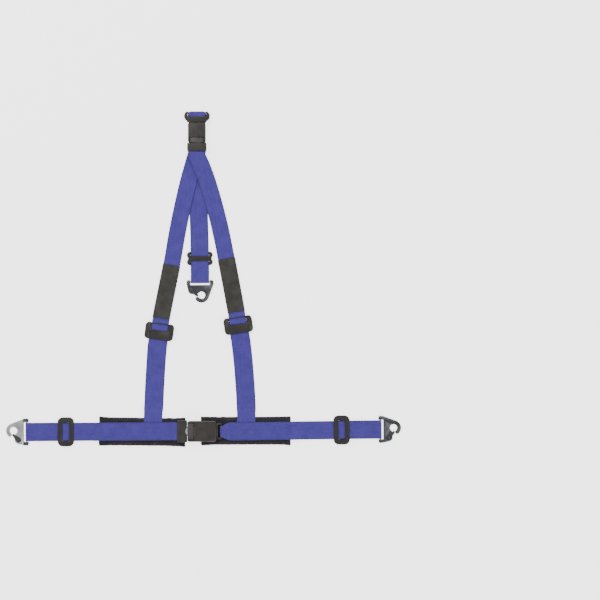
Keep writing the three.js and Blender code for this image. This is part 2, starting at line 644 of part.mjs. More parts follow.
function addShoulder(side, plan, adjusterY, upperRoute) {
  const centre = plan.distanceAtY(adjusterY);
  const place = plan.frame(centre);
  const { splice, tail, labelFrom, labelTo, labelThickness } = SHOULDER;
  const rod = centre + ADJUSTER.rodAt;
  const lock = centre + ADJUSTER.lockAt;
  const padEdge = plan.distanceAtY(46);

  add(`${side}_adjuster_frame`, adjusterFrame(), MATERIAL.blackMetal, place);
  add(`${side}_adjuster_lock_bar`, lockBar(), MATERIAL.darkSteel, place);

  const lower = route(
    level(0, padEdge, ON_PAD),
    ramp(padEdge, ON_PAD, padEdge + 26, FLOOR),
    level(padEdge + 26, centre - 100, FLOOR),
    ramp(centre - 100, FLOOR, centre - 82, FLOOR + LAYER, 4),
    ramp(centre - 82, FLOOR + LAYER, centre - 38, TOP),
    level(centre - 38, rod, TOP),
    wrap(rod, BAR.height, BAR_WRAP, 90, -90),
    level(rod, centre - 80, FLOOR),
  );
  const sewn = (distance) => WEB.lower - 2 * THREE.MathUtils.clamp((padEdge + 12 - distance) / 8, 0, 1);
  add(`${side}_shoulder_lower_webbing`, ribbon(plan, lower, sewn), MATERIAL.webbing);

  const adjusting = route(
    follow(centre, splice, 24),
    level(centre + 24, lock, LOCK_HEIGHT + LOCK_WRAP),
    wrap(lock, LOCK_HEIGHT, LOCK_WRAP, 90, 270),
    level(lock, centre + 26, LOCK_HEIGHT - LOCK_WRAP),
    ramp(centre + 26, LOCK_HEIGHT - LOCK_WRAP, centre + 34, FLOOR, 3),
    level(centre + 34, centre + tail, FLOOR),
  );
  add(`${side}_shoulder_adjusting_webbing`, ribbon(plan, adjusting, WEB.upper), MATERIAL.webbing);

  const upper = route(follow(centre, splice + GAP, tail + 32), ...upperRoute(plan, centre + tail + 32));
  add(`${side}_shoulder_upper_webbing`, ribbon(plan, upper, WEB.upper), MATERIAL.webbing);

  const raise = (WEB.thickness + labelThickness) / 2 + 2 * GAP;
  add(`${side}_shoulder_label`,
    ribbon(plan, follow(centre, labelFrom, labelTo, raise), WEB.upper + 1.5, labelThickness),
    MATERIAL.label);
}

// The left strap ends under the right one; the right one is looped round the rear tongue's bar.
addShoulder('left', leftShoulder, ADJUSTER.leftY, (plan, from) => [
  level(from, plan.distanceAtY(485), FLOOR),
  ramp(plan.distanceAtY(485), FLOOR, plan.distanceAtY(520), FLOOR + LAYER),
  level(plan.distanceAtY(520), plan.length, FLOOR + LAYER),
]);

const rearBarHeight = REAR_BUCKLE.z + REAR_TONGUE.barHeight;
const rearWrap = REAR_TONGUE.rodRadius + GAP + WEB.thickness / 2;
addShoulder('right', rightShoulder, ADJUSTER.rightY, (plan, from) => [
  level(from, plan.distanceAtY(505), FLOOR),
  ramp(plan.distanceAtY(505), FLOOR, plan.distanceAtY(545), FLOOR + LAYER),
  ramp(plan.distanceAtY(548), FLOOR + LAYER, plan.distanceAtY(598), FLOOR + 2 * LAYER),
  level(plan.distanceAtY(598), plan.distanceAtY(640), FLOOR + 2 * LAYER),
  ramp(plan.distanceAtY(640), FLOOR + 2 * LAYER, plan.distanceAtY(716), rearBarHeight + rearWrap),
  level(plan.distanceAtY(716), plan.length, rearBarHeight + rearWrap),
  wrap(plan.length, rearBarHeight, rearWrap, 90, -90),
  level(plan.length, plan.distanceAtY(706), rearBarHeight - rearWrap),
]);

// ---------------------------------------------------------------- centre and rear buckles
addBuckle('centre', CENTRE_BUCKLE);
addBuckle('rear', REAR_BUCKLE);
add('centre_tongue_plate', tonguePlate(CENTRE_BUCKLE, CENTRE_TONGUE), MATERIAL.brightSteel, CENTRE_BUCKLE);
add('centre_tongue_cover', tongueCover(CENTRE_BUCKLE, CENTRE_TONGUE), MATERIAL.plastic, CENTRE_BUCKLE);
add('rear_tongue_plate', tonguePlate(REAR_BUCKLE, REAR_TONGUE), MATERIAL.brightSteel, REAR_BUCKLE);
add('rear_tongue_cover', tongueCover(REAR_BUCKLE, REAR_TONGUE), MATERIAL.plastic, REAR_BUCKLE);

// ---------------------------------------------------------------- rear strap
const topBar = rearPlan.length;
const buckleBar = rearPlan.distanceAtY(REAR_BUCKLE.y + REAR_BUCKLE.rodAt);
const buckleBarHeight = REAR_BUCKLE.z + REAR_BUCKLE.rodHeight;
const buckleWrap = REAR_BUCKLE.rodRadius + GAP + WEB.thickness / 2;
const rearRoute = route(
  level(6, 0, FLOOR),
  wrap(0, BAR.height, BAR_WRAP, -90, -270),
  level(0, 90, TOP),
  ramp(90, TOP, 116, FLOOR),
  level(116, topBar, FLOOR, 60),
  wrap(topBar, BAR.height, BAR_WRAP, -90, 90),
  ramp(topBar - 2, TOP, buckleBar + 4, buckleBarHeight + buckleWrap),
  wrap(buckleBar, buckleBarHeight, buckleWrap, 90, 270),
  level(buckleBar, topBar - 9, buckleBarHeight - buckleWrap),
);
const rearNeck = (distance, height) => {
  const folded = height > FLOOR + LAYER && distance > topBar / 2;
  const share = THREE.MathUtils.clamp((topBar - 3 - distance) / 14, 0, 1);
  return WEB.lap - (folded ? (WEB.lap - WEB.rearNeck) * share : 0);
};
add('rear_webbing', ribbon(rearPlan, rearRoute, rearNeck), MATERIAL.webbing);

const rearSliderAt = rearPlan.distanceAtY(REAR_SLIDER.at);
const lowerBarAt = rearSliderAt - REAR_SLIDER.length / 2 + 4;
add('rear_return_webbing',
  ribbon(rearPlan, returnRoute(0, lowerBarAt - 1, centreBarHeight), WEB.lap), MATERIAL.webbing);
add('rear_slider', rearSlider(), MATERIAL.blackMetal, rearPlan.frame(rearSliderAt));
add('top_slider', topSlider(), MATERIAL.blackMetal,
  rearPlan.frame(rearPlan.distanceAtY(TOP_SLIDER.at)));
addHook('rear', rearPlan.frame(0, true), 1, MATERIAL.darkSteel);

// ---------------------------------------------------------------- origin
// The origin is the middle of the harness's outline, at the floor.
const bounds = new THREE.Box3().setFromObject(harness, true);
const middle = bounds.getCenter(new THREE.Vector3());
harness.position.set(-middle.x, -middle.y, -bounds.min.z);

export default harness;
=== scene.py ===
"""Looks for a four-point strap harness that lies flat on a pale floor, seen from straight above.

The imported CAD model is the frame. Lengths here are in millimetres in the harness's own plan, whose
origin is the fastening between the lap straps, and row() turns them into the frame's metres.
"""
import json
import math
from contextlib import contextmanager

import bmesh
import bpy
import numpy as np
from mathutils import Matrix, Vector, noise
from mathutils.bvhtree import BVHTree


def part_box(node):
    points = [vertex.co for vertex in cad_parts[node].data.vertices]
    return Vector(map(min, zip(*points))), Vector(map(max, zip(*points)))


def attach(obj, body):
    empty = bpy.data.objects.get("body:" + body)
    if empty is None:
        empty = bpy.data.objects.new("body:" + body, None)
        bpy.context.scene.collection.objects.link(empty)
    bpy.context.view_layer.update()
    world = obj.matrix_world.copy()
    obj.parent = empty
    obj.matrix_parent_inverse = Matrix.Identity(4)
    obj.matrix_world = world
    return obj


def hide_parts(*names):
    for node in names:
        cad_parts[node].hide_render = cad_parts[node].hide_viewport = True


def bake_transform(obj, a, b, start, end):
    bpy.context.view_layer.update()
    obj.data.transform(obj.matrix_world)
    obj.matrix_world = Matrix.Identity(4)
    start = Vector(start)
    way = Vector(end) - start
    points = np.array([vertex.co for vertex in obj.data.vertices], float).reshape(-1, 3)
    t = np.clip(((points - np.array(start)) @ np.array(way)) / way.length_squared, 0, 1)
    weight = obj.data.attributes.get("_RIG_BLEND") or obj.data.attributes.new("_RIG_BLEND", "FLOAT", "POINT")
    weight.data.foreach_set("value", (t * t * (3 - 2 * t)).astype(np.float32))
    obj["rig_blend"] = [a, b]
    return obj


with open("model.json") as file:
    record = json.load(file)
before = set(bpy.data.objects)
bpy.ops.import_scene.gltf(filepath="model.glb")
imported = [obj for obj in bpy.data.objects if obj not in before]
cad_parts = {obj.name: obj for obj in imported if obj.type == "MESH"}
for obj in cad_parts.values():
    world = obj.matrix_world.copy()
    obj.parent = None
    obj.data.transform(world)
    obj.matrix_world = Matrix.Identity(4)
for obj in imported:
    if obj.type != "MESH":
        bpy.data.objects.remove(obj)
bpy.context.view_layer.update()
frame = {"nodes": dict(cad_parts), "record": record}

MM = 0.001
NODES = frame["nodes"]
BODY_OF = {n: b for b, members in frame["record"]["behaviour"]["bodies"].items() for n in members}

# ------------------------------ driving dimensions
GAP = 0.3
WEB = {"thickness": 1.3, "lap": 48.5, "upper": 45, "lower": 51, "neck": 30, "rear_neck": 36}
LAYER = WEB["thickness"] + GAP
FLOOR = WEB["thickness"] / 2


def around(bar_radius):
    """The radius of a strap's middle layer where it wraps a round bar."""
    return bar_radius + GAP + WEB["thickness"] / 2


BAR = {"radius": 1.8, "height": LAYER + 1.8}
BAR_WRAP = around(BAR["radius"])
TOP = BAR["height"] + BAR_WRAP
PAD = {"thickness": 8, "width": 81, "corner": 4, "left": (-265, -30), "right": (4.5, 249)}
ON_PAD = PAD["thickness"] + GAP + WEB["thickness"] / 2
OVER_PAD = ON_PAD + LAYER
HOOK_BAR = {"left": -453, "right": 483, "rear": 395}
LAP_SLIDER_AT = {"left": -349.5, "right": 380.5}
REAR_SLIDER = {"at": 457, "length": 36}
TOP_BAR_Y = 843.5
ADJUSTER = {"left": 264, "right": 281, "lock_radius": 2.4, "lock_at": 5.5, "rod_at": -12}
LOCK_HEIGHT = 4.65
LOCK_WRAP = around(ADJUSTER["lock_radius"])
CENTRE_WRAP_HEIGHT = PAD["thickness"] + GAP + 3.1
REAR_BAR = {"tongue_height": 7.7, "tongue_radius": 1.3, "y": 824, "height": 5.0, "radius": 1.2}

# Distances along the straps: LAP's from the fastening, the pad's end or the hook, LOWER's back from an
# adjuster's centre, SHOULDER's on from it, FOOT's on from the pad's edge.
LAP = {"bar_radius": 1.5, "leaves_bar": 2, "settled": 16, "drop": 20, "under_hook": 6}
RETURN_BAR = {"radius": 1.0, "height": LAYER + 1}
FOOT = {"y": 46, "drop": 26, "squeeze": 2}
LOWER = {"lifts": 100, "lifted": 82, "climbed": 38, "end": 80}
SHOULDER = {"over_lock": 24, "under_lock": 26, "dropped": 34, "label_from": 35, "splice": 66, "tail": 118,
            "clear": 150, "label_to": 179, "label_thickness": 0.6}
CROSSING = {"left_rise": (485, 520), "over_rear": (505, 545), "over_left": (548, 598),
            "to_tongue": (640, 716), "fold_end": 706}
REAR = {"hook_end": 6, "lowers": (90, 116), "squeeze_y": 715, "squeeze": 3.5, "corner": 13, "fold_end": 9}
STITCH = {"pitch": 2.6, "label_pitch": 2.2, "rim_pitch": 3.0, "covers": (0.1, 0.82),
          "rim_covers": (0.12, 0.8)}
TAPE = {"width": 6.5, "rise": 0.5, "seam": 4.2}
PUFF = {"cell": 4.5, "seam_height": 0.36, "above": 0.6, "below": 0.33, "reach": 11.0, "cap": 2.0}
DARK_HEEL = 9.5

PAD_CENTRE = ((PAD["right"][0] + PAD["right"][1]) / 2, 1.0)
_low, _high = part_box("right_pad")
ORIGIN = np.array([(_low.x + _high.x) / 2 / MM - PAD_CENTRE[0],
                   (_low.y + _high.y) / 2 / MM - PAD_CENTRE[1], 0.0])


def row(x, y, z=0.0):
    """A place in the harness's plan, in millimetres, as metres in the frame."""
    return Vector(((x + ORIGIN[0]) * MM, (y + ORIGIN[1]) * MM, z * MM))


# ------------------------------ materials
def shader(name, color, roughness, metallic=0.0):
    material = bpy.data.materials.new(name)
    material.use_nodes = True
    nodes = material.node_tree.nodes
    bsdf = nodes["Principled BSDF"]
    bsdf.inputs["Base Color"].default_value = color
    bsdf.inputs["Roughness"].default_value = roughness
    bsdf.inputs["Metallic"].default_value = metallic
    return material, material.node_tree, bsdf


def srgb(code):
    """A hex colour as a linear RGBA tuple."""
    parts = [int(code[i:i + 2], 16) / 255 for i in (0, 2, 4)]
    linear = [c / 12.92 if c <= 0.04045 else ((c + 0.055) / 1.055) ** 2.4 for c in parts]
    return (*linear, 1.0)


def node(tree, kind, inputs=None, **settings):
    made = tree.nodes.new(kind)
    for key, value in settings.items():
        setattr(made, key, value)
    for key, value in (inputs or {}).items():
        if isinstance(value, bpy.types.NodeSocket):
            tree.links.new(value, made.inputs[key])
        else:
            made.inputs[key].default_value = value
    return made


def math_node(tree, operation, first, second=None):
    inputs = {0: first}
    if second is not None:
        inputs[1] = second
    return node(tree, "ShaderNodeMath", inputs, operation=operation).outputs[0]


def blend_colors(tree, share, first, second):
    mix = node(tree, "ShaderNodeMix", {"Factor": share, 6: first, 7: second}, data_type="RGBA")
    return mix.outputs[2]


def noise_node(tree, vector, scale, detail=4.0, roughness=0.5):
    inputs = {"Vector": vector, "Scale": scale, "Detail": detail, "Roughness": roughness}
    return node(tree, "ShaderNodeTexNoise", inputs).outputs["Fac"]


def object_place(tree):
    return node(tree, "ShaderNodeTexCoord").outputs["Object"]


def clamped(tree, value):
    return node(tree, "ShaderNodeClamp", {"Value": value}).outputs[0]


def remap(tree, value, low, high, to_low, to_high):
    inputs = {"Value": value, "From Min": low, "From Max": high, "To Min": to_low, "To Max": to_high}
    return node(tree, "ShaderNodeMapRange", inputs).outputs["Result"]


def add_bump(tree, bsdf, height, distance, strength=1.0, under=None):
    inputs = {"Height": height, "Distance": distance, "Strength": strength}
    if under is not None:
        inputs["Normal"] = under
    bump = node(tree, "ShaderNodeBump", inputs)
    tree.links.new(bump.outputs["Normal"], bsdf.inputs["Normal"])
    return bump.outputs["Normal"]


WEAVE = {"panel": 5.6, "slant": 0.62, "twill": 1.9, "yarn": 1.15}


def webbing_material(name, light, dark, edge_half):
    """Herringbone polyester webbing. Its map holds millimetres across and along the strap."""
    material, tree, bsdf = shader(name, srgb(light), 0.6)
    bsdf.inputs["Sheen Weight"].default_value = 0.35
    bsdf.inputs["Sheen Roughness"].default_value = 0.45
    bsdf.inputs["Specular IOR Level"].default_value = 0.35
    strap = node(tree, "ShaderNodeUVMap", uv_map="strap").outputs["UV"]
    split = node(tree, "ShaderNodeSeparateXYZ", {"Vector": strap})
    across, along = split.outputs["X"], split.outputs["Y"]
    panel = math_node(tree, "PINGPONG", across, WEAVE["panel"])
    slant = math_node(tree, "ADD", along, math_node(tree, "MULTIPLY", panel, WEAVE["slant"]))
    twill = math_node(tree, "SINE", math_node(tree, "MULTIPLY", slant, 2 * math.pi / WEAVE["twill"]))
    yarn = math_node(tree, "SINE", math_node(tree, "MULTIPLY", across, 2 * math.pi / WEAVE["yarn"]))
    weave = math_node(tree, "ADD", math_node(tree, "MULTIPLY", twill, 0.65),
                      math_node(tree, "MULTIPLY", yarn, 0.35))
    stretched = node(tree, "ShaderNodeMapping", {"Vector": strap, "Scale": (0.9, 0.045, 1.0)}).outputs[0]
    streaks = noise_node(tree, stretched, 1.0, 3.0, 0.6)
    blotches = noise_node(tree, strap, 0.035, 3.0, 0.55)
    edge = remap(tree, math_node(tree, "ABSOLUTE", across), edge_half - 2.4, edge_half - 0.9, 0.0, 0.55)
    tone = math_node(tree, "ADD", remap(tree, weave, -1.0, 1.0, 0.38, 0.0),
                     remap(tree, streaks, 0.35, 0.7, 0.0, 0.28))
    tone = math_node(tree, "ADD", tone, remap(tree, blotches, 0.35, 0.7, 0.0, 0.25))
    tone = math_node(tree, "ADD", tone, edge)
    color = blend_colors(tree, clamped(tree, tone), srgb(light), srgb(dark))
    tree.links.new(color, bsdf.inputs["Base Color"])
    rough = remap(tree, streaks, 0.3, 0.7, 0.56, 0.72)
    tree.links.new(rough, bsdf.inputs["Roughness"])
    soft = add_bump(tree, bsdf, blotches, 0.0006, 0.5)
    add_bump(tree, bsdf, weave, 0.00016, 1.0, soft)
    return material


def cloth_material(name, light, dark, pitch, fuzz):
    """Plain-woven cloth seen from above, with a fine grid of yarns and soft wear."""
    material, tree, bsdf = shader(name, srgb(light), 0.85)
    bsdf.inputs["Sheen Weight"].default_value = fuzz
    bsdf.inputs["Sheen Roughness"].default_value = 0.5
    bsdf.inputs["Specular IOR Level"].default_value = 0.25
    place = object_place(tree)
    split = node(tree, "ShaderNodeSeparateXYZ", {"Vector": place})
    turn = 2 * math.pi / (pitch * MM)
    warp = math_node(tree, "SINE", math_node(tree, "MULTIPLY", split.outputs["X"], turn))
    weft = math_node(tree, "SINE", math_node(tree, "MULTIPLY", split.outputs["Y"], turn))
    weave = math_node(tree, "MULTIPLY", warp, weft)
    cloudy = noise_node(tree, place, 38.0, 5.0, 0.6)
    lint = noise_node(tree, place, 900.0, 2.0, 0.7)
    tone = math_node(tree, "ADD", remap(tree, cloudy, 0.35, 0.7, 0.0, 0.6),
                     remap(tree, weave, -1.0, 1.0, 0.0, 0.3))
    tone = math_node(tree, "ADD", tone, remap(tree, lint, 0.62, 0.8, 0.0, -0.35))
    color = blend_colors(tree, clamped(tree, tone), srgb(light), srgb(dark))
    tree.links.new(color, bsdf.inputs["Base Color"])
    tree.links.new(remap(tree, cloudy, 0.3, 0.7, 0.78, 0.92), bsdf.inputs["Roughness"])
    soft = add_bump(tree, bsdf, cloudy, 0.0012, 0.35)
    add_bump(tree, bsdf, weave, 0.00012, 0.8, soft)
    return material


def metal_material(name, light, dark, roughness, metallic, peel, wear=None):
    """Plated or painted steel with mottled tone, fine scratches and, where given, worn edges."""
    material, tree, bsdf = shader(name, srgb(light), roughness[0], metallic)
    place = object_place(tree)
    mottle = noise_node(tree, place, 60.0, 6.0, 0.6)
    fine = noise_node(tree, place, 1400.0, 3.0, 0.6)
    drawn = node(tree, "ShaderNodeMapping", {"Vector": place, "Scale": (90.0, 1500.0, 300.0)}).outputs[0]
    scratches = noise_node(tree, drawn, 1.0, 3.0, 0.6)
    tone = math_node(tree, "ADD", remap(tree, mottle, 0.3, 0.7, 0.0, 0.7),
                     remap(tree, scratches, 0.5, 0.75, 0.0, 0.35))
    color = blend_colors(tree, clamped(tree, tone), srgb(light), srgb(dark))
    if wear:
        pointed = node(tree, "ShaderNodeNewGeometry").outputs["Pointiness"]
        worn = math_node(tree, "MULTIPLY", remap(tree, pointed, 0.53, 0.6, 0.0, 0.55),
                         remap(tree, mottle, 0.4, 0.6, 0.2, 1.0))
        color = blend_colors(tree, worn, color, srgb(wear))
    tree.links.new(color, bsdf.inputs["Base Color"])
    rough = remap(tree, math_node(tree, "ADD", scratches, mottle), 0.7, 1.3, roughness[0], roughness[1])
    tree.links.new(rough, bsdf.inputs["Roughness"])
    coarse = add_bump(tree, bsdf, mottle, peel * MM, 0.4)
    add_bump(tree, bsdf, fine, peel * MM * 0.4, 0.5, coarse)
    return material


def plastic_material(name, light, dark, roughness):
    """Moulded plastic with a spark-eroded grain and rubbed, slightly greasy patches."""
    material, tree, bsdf = shader(name, srgb(light), roughness)
    bsdf.inputs["Specular IOR Level"].default_value = 0.45
    place = object_place(tree)
    patches = noise_node(tree, place, 45.0, 4.0, 0.55)
    cells = {"Vector": place, "Scale": 1300.0}
    grain = node(tree, "ShaderNodeTexVoronoi", cells).outputs["Distance"]
    tone = remap(tree, patches, 0.3, 0.7, 0.0, 1.0)
    tree.links.new(blend_colors(tree, tone, srgb(light), srgb(dark)), bsdf.inputs["Base Color"])
    tree.links.new(remap(tree, patches, 0.3, 0.7, roughness - 0.08, roughness + 0.1),
                   bsdf.inputs["Roughness"])
    add_bump(tree, bsdf, grain, 0.00008, 0.6)
    return material


def thread_material(name, light, dark):
    """Bonded sewing thread with its twist."""
    material, tree, bsdf = shader(name, srgb(light), 0.55)
    bsdf.inputs["Sheen Weight"].default_value = 0.2
    place = object_place(tree)
    inputs = {"Vector": place, "Scale": 900.0, "Distortion": 1.5}
    twist = node(tree, "ShaderNodeTexWave", inputs, bands_direction="DIAGONAL").outputs["Fac"]
    tree.links.new(blend_colors(tree, twist, srgb(light), srgb(dark)), bsdf.inputs["Base Color"])
    add_bump(tree, bsdf, twist, 0.0001, 0.7)
    return material


BLUE = ("4D3FA6", "2A206C")
LOOKS = {
    "webbing": webbing_material("woven_webbing", *BLUE, WEB["lap"] / 2),
    "webbing_narrow": webbing_material("woven_webbing_upper", *BLUE, WEB["upper"] / 2),
    "webbing_lower": webbing_material("woven_webbing_lower", *BLUE, WEB["lower"] / 2),
    "thread": thread_material("blue_thread", "3B3688", "1D1A50"),
    "pad": cloth_material("pad_cloth", "2E2B31", "17161A", 0.9, 0.15),
    "binding": cloth_material("binding_tape", "1E1D21", "0E0D10", 0.6, 0.12),
    "black_thread": thread_material("black_thread", "3C3A40", "18171A"),
    "label": cloth_material("label_cloth", "474541", "2B2A27", 0.7, 0.12),
    "black_metal": metal_material("black_coated_steel", "2A2825", "181715", (0.4, 0.58), 0.1, 0.05,
                                  "5A564E"),
    "dark_steel": metal_material("dark_plated_steel", "54565A", "2C2D30", (0.34, 0.5), 0.9, 0.03,
                                 "8A8C90"),
    "bright_steel": metal_material("bright_plated_steel", "E2E4E6", "85898E", (0.2, 0.36), 1.0, 0.04),
    "spring_steel": metal_material("spring_wire", "B4B7BB", "85888D", (0.22, 0.35), 1.0, 0.01),
    "plastic": plastic_material("black_moulding", "35312D", "221F1C", 0.5),
    "button": plastic_material("button_moulding", "4C4445", "383132", 0.46),
}


# ------------------------------ meshes
def piece(name, vertices, faces, look, smooth=True):
    mesh = bpy.data.meshes.new(name)
    mesh.from_pydata([tuple(v) for v in vertices], [], faces)
    mesh.update()
    if smooth:
        mesh.shade_smooth()
    mesh.materials.append(LOOKS[look])
    return shown_as(name, mesh)


@contextmanager
def editing(mesh):
    """Opens a mesh for bmesh work, and closes it with its faces pointing out."""
    work = bmesh.new()
    work.from_mesh(mesh)
    yield work
    bmesh.ops.recalc_face_normals(work, faces=work.faces)
    work.to_mesh(mesh)
    work.free()


def shown_as(name, data):
    """An object for a mesh, light or camera, put in the scene."""
    obj = bpy.data.objects.new(name, data)
    bpy.context.scene.collection.objects.link(obj)
    return obj


def settle(obj):
    """Replaces an object's mesh by what its modifiers make of it."""
    graph = bpy.context.evaluated_depsgraph_get()
    done = bpy.data.meshes.new_from_object(obj.evaluated_get(graph), depsgraph=graph)
    obj.modifiers.clear()
    obj.data = done
    return obj


FLAT_ENOUGH = math.radians(0.6)
SHARP = math.radians(35)


def refined(cad_node, look, bevel, merge=True):
    """A copy of a CAD node's mesh with softened edges, which stands in for it."""
    mesh = NODES[cad_node].data.copy()
    for name in [a.name for a in mesh.attributes if a.name == "custom_normal" or a.data_type == "FLOAT2"]:
        mesh.attributes.remove(mesh.attributes[name])
    obj = shown_as(cad_node + "_look", mesh)
    with editing(mesh) as work:
        bmesh.ops.remove_doubles(work, verts=work.verts, dist=1e-6)
        if merge:
            bmesh.ops.dissolve_limit(work, angle_limit=FLAT_ENOUGH, verts=work.verts, edges=work.edges)
    mesh.materials.clear()
    mesh.materials.append(LOOKS[look])
    soften = obj.modifiers.new("soften", "BEVEL")
    soften.width = bevel * MM
    soften.segments = 2
    soften.limit_method = "ANGLE"
    soften.angle_limit = SHARP
    settle(obj)
    obj.data.shade_smooth()
    obj.data.set_sharp_from_angle(angle=SHARP)
    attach(obj, BODY_OF[cad_node])
    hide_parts(cad_node)
    return obj


# ------------------------------ straps
class Plan:
    """A strap's centreline on the floor: a centripetal Catmull-Rom curve, measured along itself."""

    def __init__(self, points, per_span=60):
        p = np.array(points, float)
        p = np.vstack([2 * p[0] - p[1], p, 2 * p[-1] - p[-2]])
        out = []
        for i in range(len(p) - 3):
            a, b, c, d = p[i:i + 4]
            k0, k1, k2 = (math.sqrt(np.linalg.norm(v)) for v in (b - a, c - b, d - c))
            m1 = k1 * ((b - a) / k0 - (c - a) / (k0 + k1) + (c - b) / k1)
            m2 = k1 * ((c - b) / k1 - (d - b) / (k1 + k2) + (d - c) / k2)
            t = np.linspace(0, 1, per_span, endpoint=False)[:, None]
            square, cube = -3 * b + 3 * c - 2 * m1 - m2, 2 * b - 2 * c + m1 + m2
            out.append(b + m1 * t + square * t**2 + cube * t**3)
        out.append(p[-2][None])
        self.points = np.vstack(out)
        steps = np.linalg.norm(np.diff(self.points, axis=0), axis=1)
        self.along = np.concatenate([[0], np.cumsum(steps)])
        self.length = float(self.along[-1])

    def raw(self, distance):
        return np.array([np.interp(distance, self.along, self.points[:, k]) for k in (0, 1)])

    def direction(self, distance):
        inside = min(max(distance, 1.0), self.length - 1.0)
        heading = self.raw(inside + 1.0) - self.raw(inside - 1.0)
        return heading / np.linalg.norm(heading)

    def point(self, distance):
        inside = min(max(distance, 0.0), self.length)
        return self.raw(inside) + self.direction(distance) * (distance - inside)

    def distance_at_y(self, y):
        return float(np.interp(y, self.points[:, 1], self.along))


def level(start, end, height, step=5.0):
    count = max(1, math.ceil(abs(end - start) / step))
    return [(start + (end - start) * i / count, height) for i in range(count + 1)]


def eased(share):
    share = min(max(share, 0.0), 1.0)
    return share * share * (3 - 2 * share)


def ramp(start, low, end, high, steps=14):
    return [(start + (end - start) * i / steps, low + (high - low) * eased(i / steps))
            for i in range(steps + 1)]


def wrap(distance, height, radius, start, end, steps=22):
    turns = [math.radians(start + (end - start) * i / steps) for i in range(steps + 1)]
    return [(distance + radius * math.cos(a), height + radius * math.sin(a)) for a in turns]


def route(*stretches):
    kept = []
    for point in (p for stretch in stretches for p in stretch):
        if not kept or math.hypot(point[0] - kept[-1][0], point[1] - kept[-1][1]) > 0.02:
            kept.append(point)
    return kept


def section(half, thick, columns=8, round_steps=3):
    """A strap's cross-section as (across, up, map) rows: flat faces between rounded selvedges."""
    flat = half - thick
    top = [(-flat + 2 * flat * i / columns, thick) for i in range(columns + 1)]
    right = [(flat + thick * math.sin(a), thick * math.cos(a))
             for a in (math.pi * i / (round_steps + 1) for i in range(1, round_steps + 1))]
    bottom = [(x, -u) for x, u in reversed(top)]
    left = [(-x, -u) for x, u in right]
    return top + right + bottom + left


def ribbon(name, plan, profile, width, look, thickness=WEB["thickness"], lift=None):
    """A closed strap along a plan and a height profile, mapped in millimetres."""
    width_at = width if callable(width) else lambda distance, height: width
    centres = [np.array([*plan.point(a), z]) for a, z in profile]
    steps = [np.linalg.norm(b - a) for a, b in zip(centres, centres[1:])]
    travelled = np.concatenate([[0], np.cumsum(steps)])
    vertices, maps, faces = [], [], []
    for i, (distance, height) in enumerate(profile):
        before, after = centres[max(i - 1, 0)], centres[min(i + 1, len(centres) - 1)]
        along = (after - before) / np.linalg.norm(after - before)
        heading = plan.direction(distance)
        across = np.array([-heading[1], heading[0], 0.0])
        up = np.cross(along, across)
        up /= np.linalg.norm(up)
        for x, u in section(width_at(distance, height) / 2, thickness / 2):
            place = centres[i] + across * x + up * u
            if lift:
                place[2] += lift(distance, x)
            vertices.append(row(*place))
            maps.append((x, travelled[i]))
    ring = len(section(1, 0.1))
    for i in range(len(profile) - 1):
        for k in range(ring):
            a, b = i * ring + k, i * ring + (k + 1) % ring
            faces.append((a, b, b + ring, a + ring))
    faces.append(tuple(range(ring))[::-1])
    faces.append(tuple(range(len(vertices) - ring, len(vertices))))
    obj = piece(name, vertices, faces, look)
    with editing(obj.data):
        pass  # closing the mesh turns its faces outward
    layer = obj.data.uv_layers.new(name="strap")
    for loop in obj.data.loops:
        layer.data[loop.index].uv = maps[loop.vertex_index]
    obj.data.set_sharp_from_angle(angle=math.radians(60))
    return obj, float(travelled[-1])


def strap(name, cad_node, plan, profile, width, look="webbing", lift=None, blend=None):
    """A ribbon that stands for a CAD strap, riding or bending with bodies."""
    obj, length = ribbon(name, plan, profile, width, look, lift=lift)
    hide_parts(cad_node)
    if blend:
        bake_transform(obj, *blend)
    else:
        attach(obj, BODY_OF[cad_node])
    mean = np.mean([width(*p) if callable(width) else width for p in profile])
    return obj


def stitch_ends(start, end, pitch):
    """Where each stitch of a row begins and ends, between two places on a line."""
    count = max(2, round(abs(end - start) / pitch))
    return [[start + (end - start) * (i + k) / count for k in STITCH["covers"]] for i in range(count)]


def stitch_row(height, start, end, across, pitch=STITCH["pitch"]):
    """Stitches along a strap: each has a (distance, across) pair for both its ends, and its height."""
    return [((a, across), (b, across), height) for a, b in stitch_ends(start, end, pitch)]


def cross_row(height, at, low, high, pitch=STITCH["pitch"]):
    """Stitches across a strap, in the same form."""
    return [((at, a), (at, b), height) for a, b in stitch_ends(low, high, pitch)]


# A stitch's section from end to end: the share of its length, its thickness and how far it stands up.
GRAIN = ((0.0, 0.25, -0.15), (0.22, 0.9, 0.12), (0.5, 1.0, 0.2), (0.78, 0.9, 0.12), (1.0, 0.25, -0.15))


def thread_grains(name, pairs, look, radius):
    """Sewing thread: each pair of places, in plan millimetres, is one sunken grain of thread."""
    vertices, faces = [], []
    up = np.array([0.0, 0.0, 1.0])
    sides = 6
    for start, end in pairs:
        along = (end - start) / np.linalg.norm(end - start)
        side = np.array([-along[1], along[0], 0.0])
        first = len(vertices)
        for share, size, rise in GRAIN:
            middle = start + (end - start) * share + up * rise * radius
            for k in range(sides):
                turn = 2 * math.pi * k / sides
                ring = side * math.cos(turn) + up * math.sin(turn) * 0.8
                vertices.append(row(*(middle + radius * size * ring)))
        for base in range(first, len(vertices) - sides, sides):
            for k in range(sides):
                a, b = base + k, base + (k + 1) % sides
                faces.append((a, b, b + sides, a + sides))
        faces.append(tuple(range(first, first + sides))[::-1])
        faces.append(tuple(range(len(vertices) - sides, len(vertices))))
    return piece(name, vertices, faces, look)


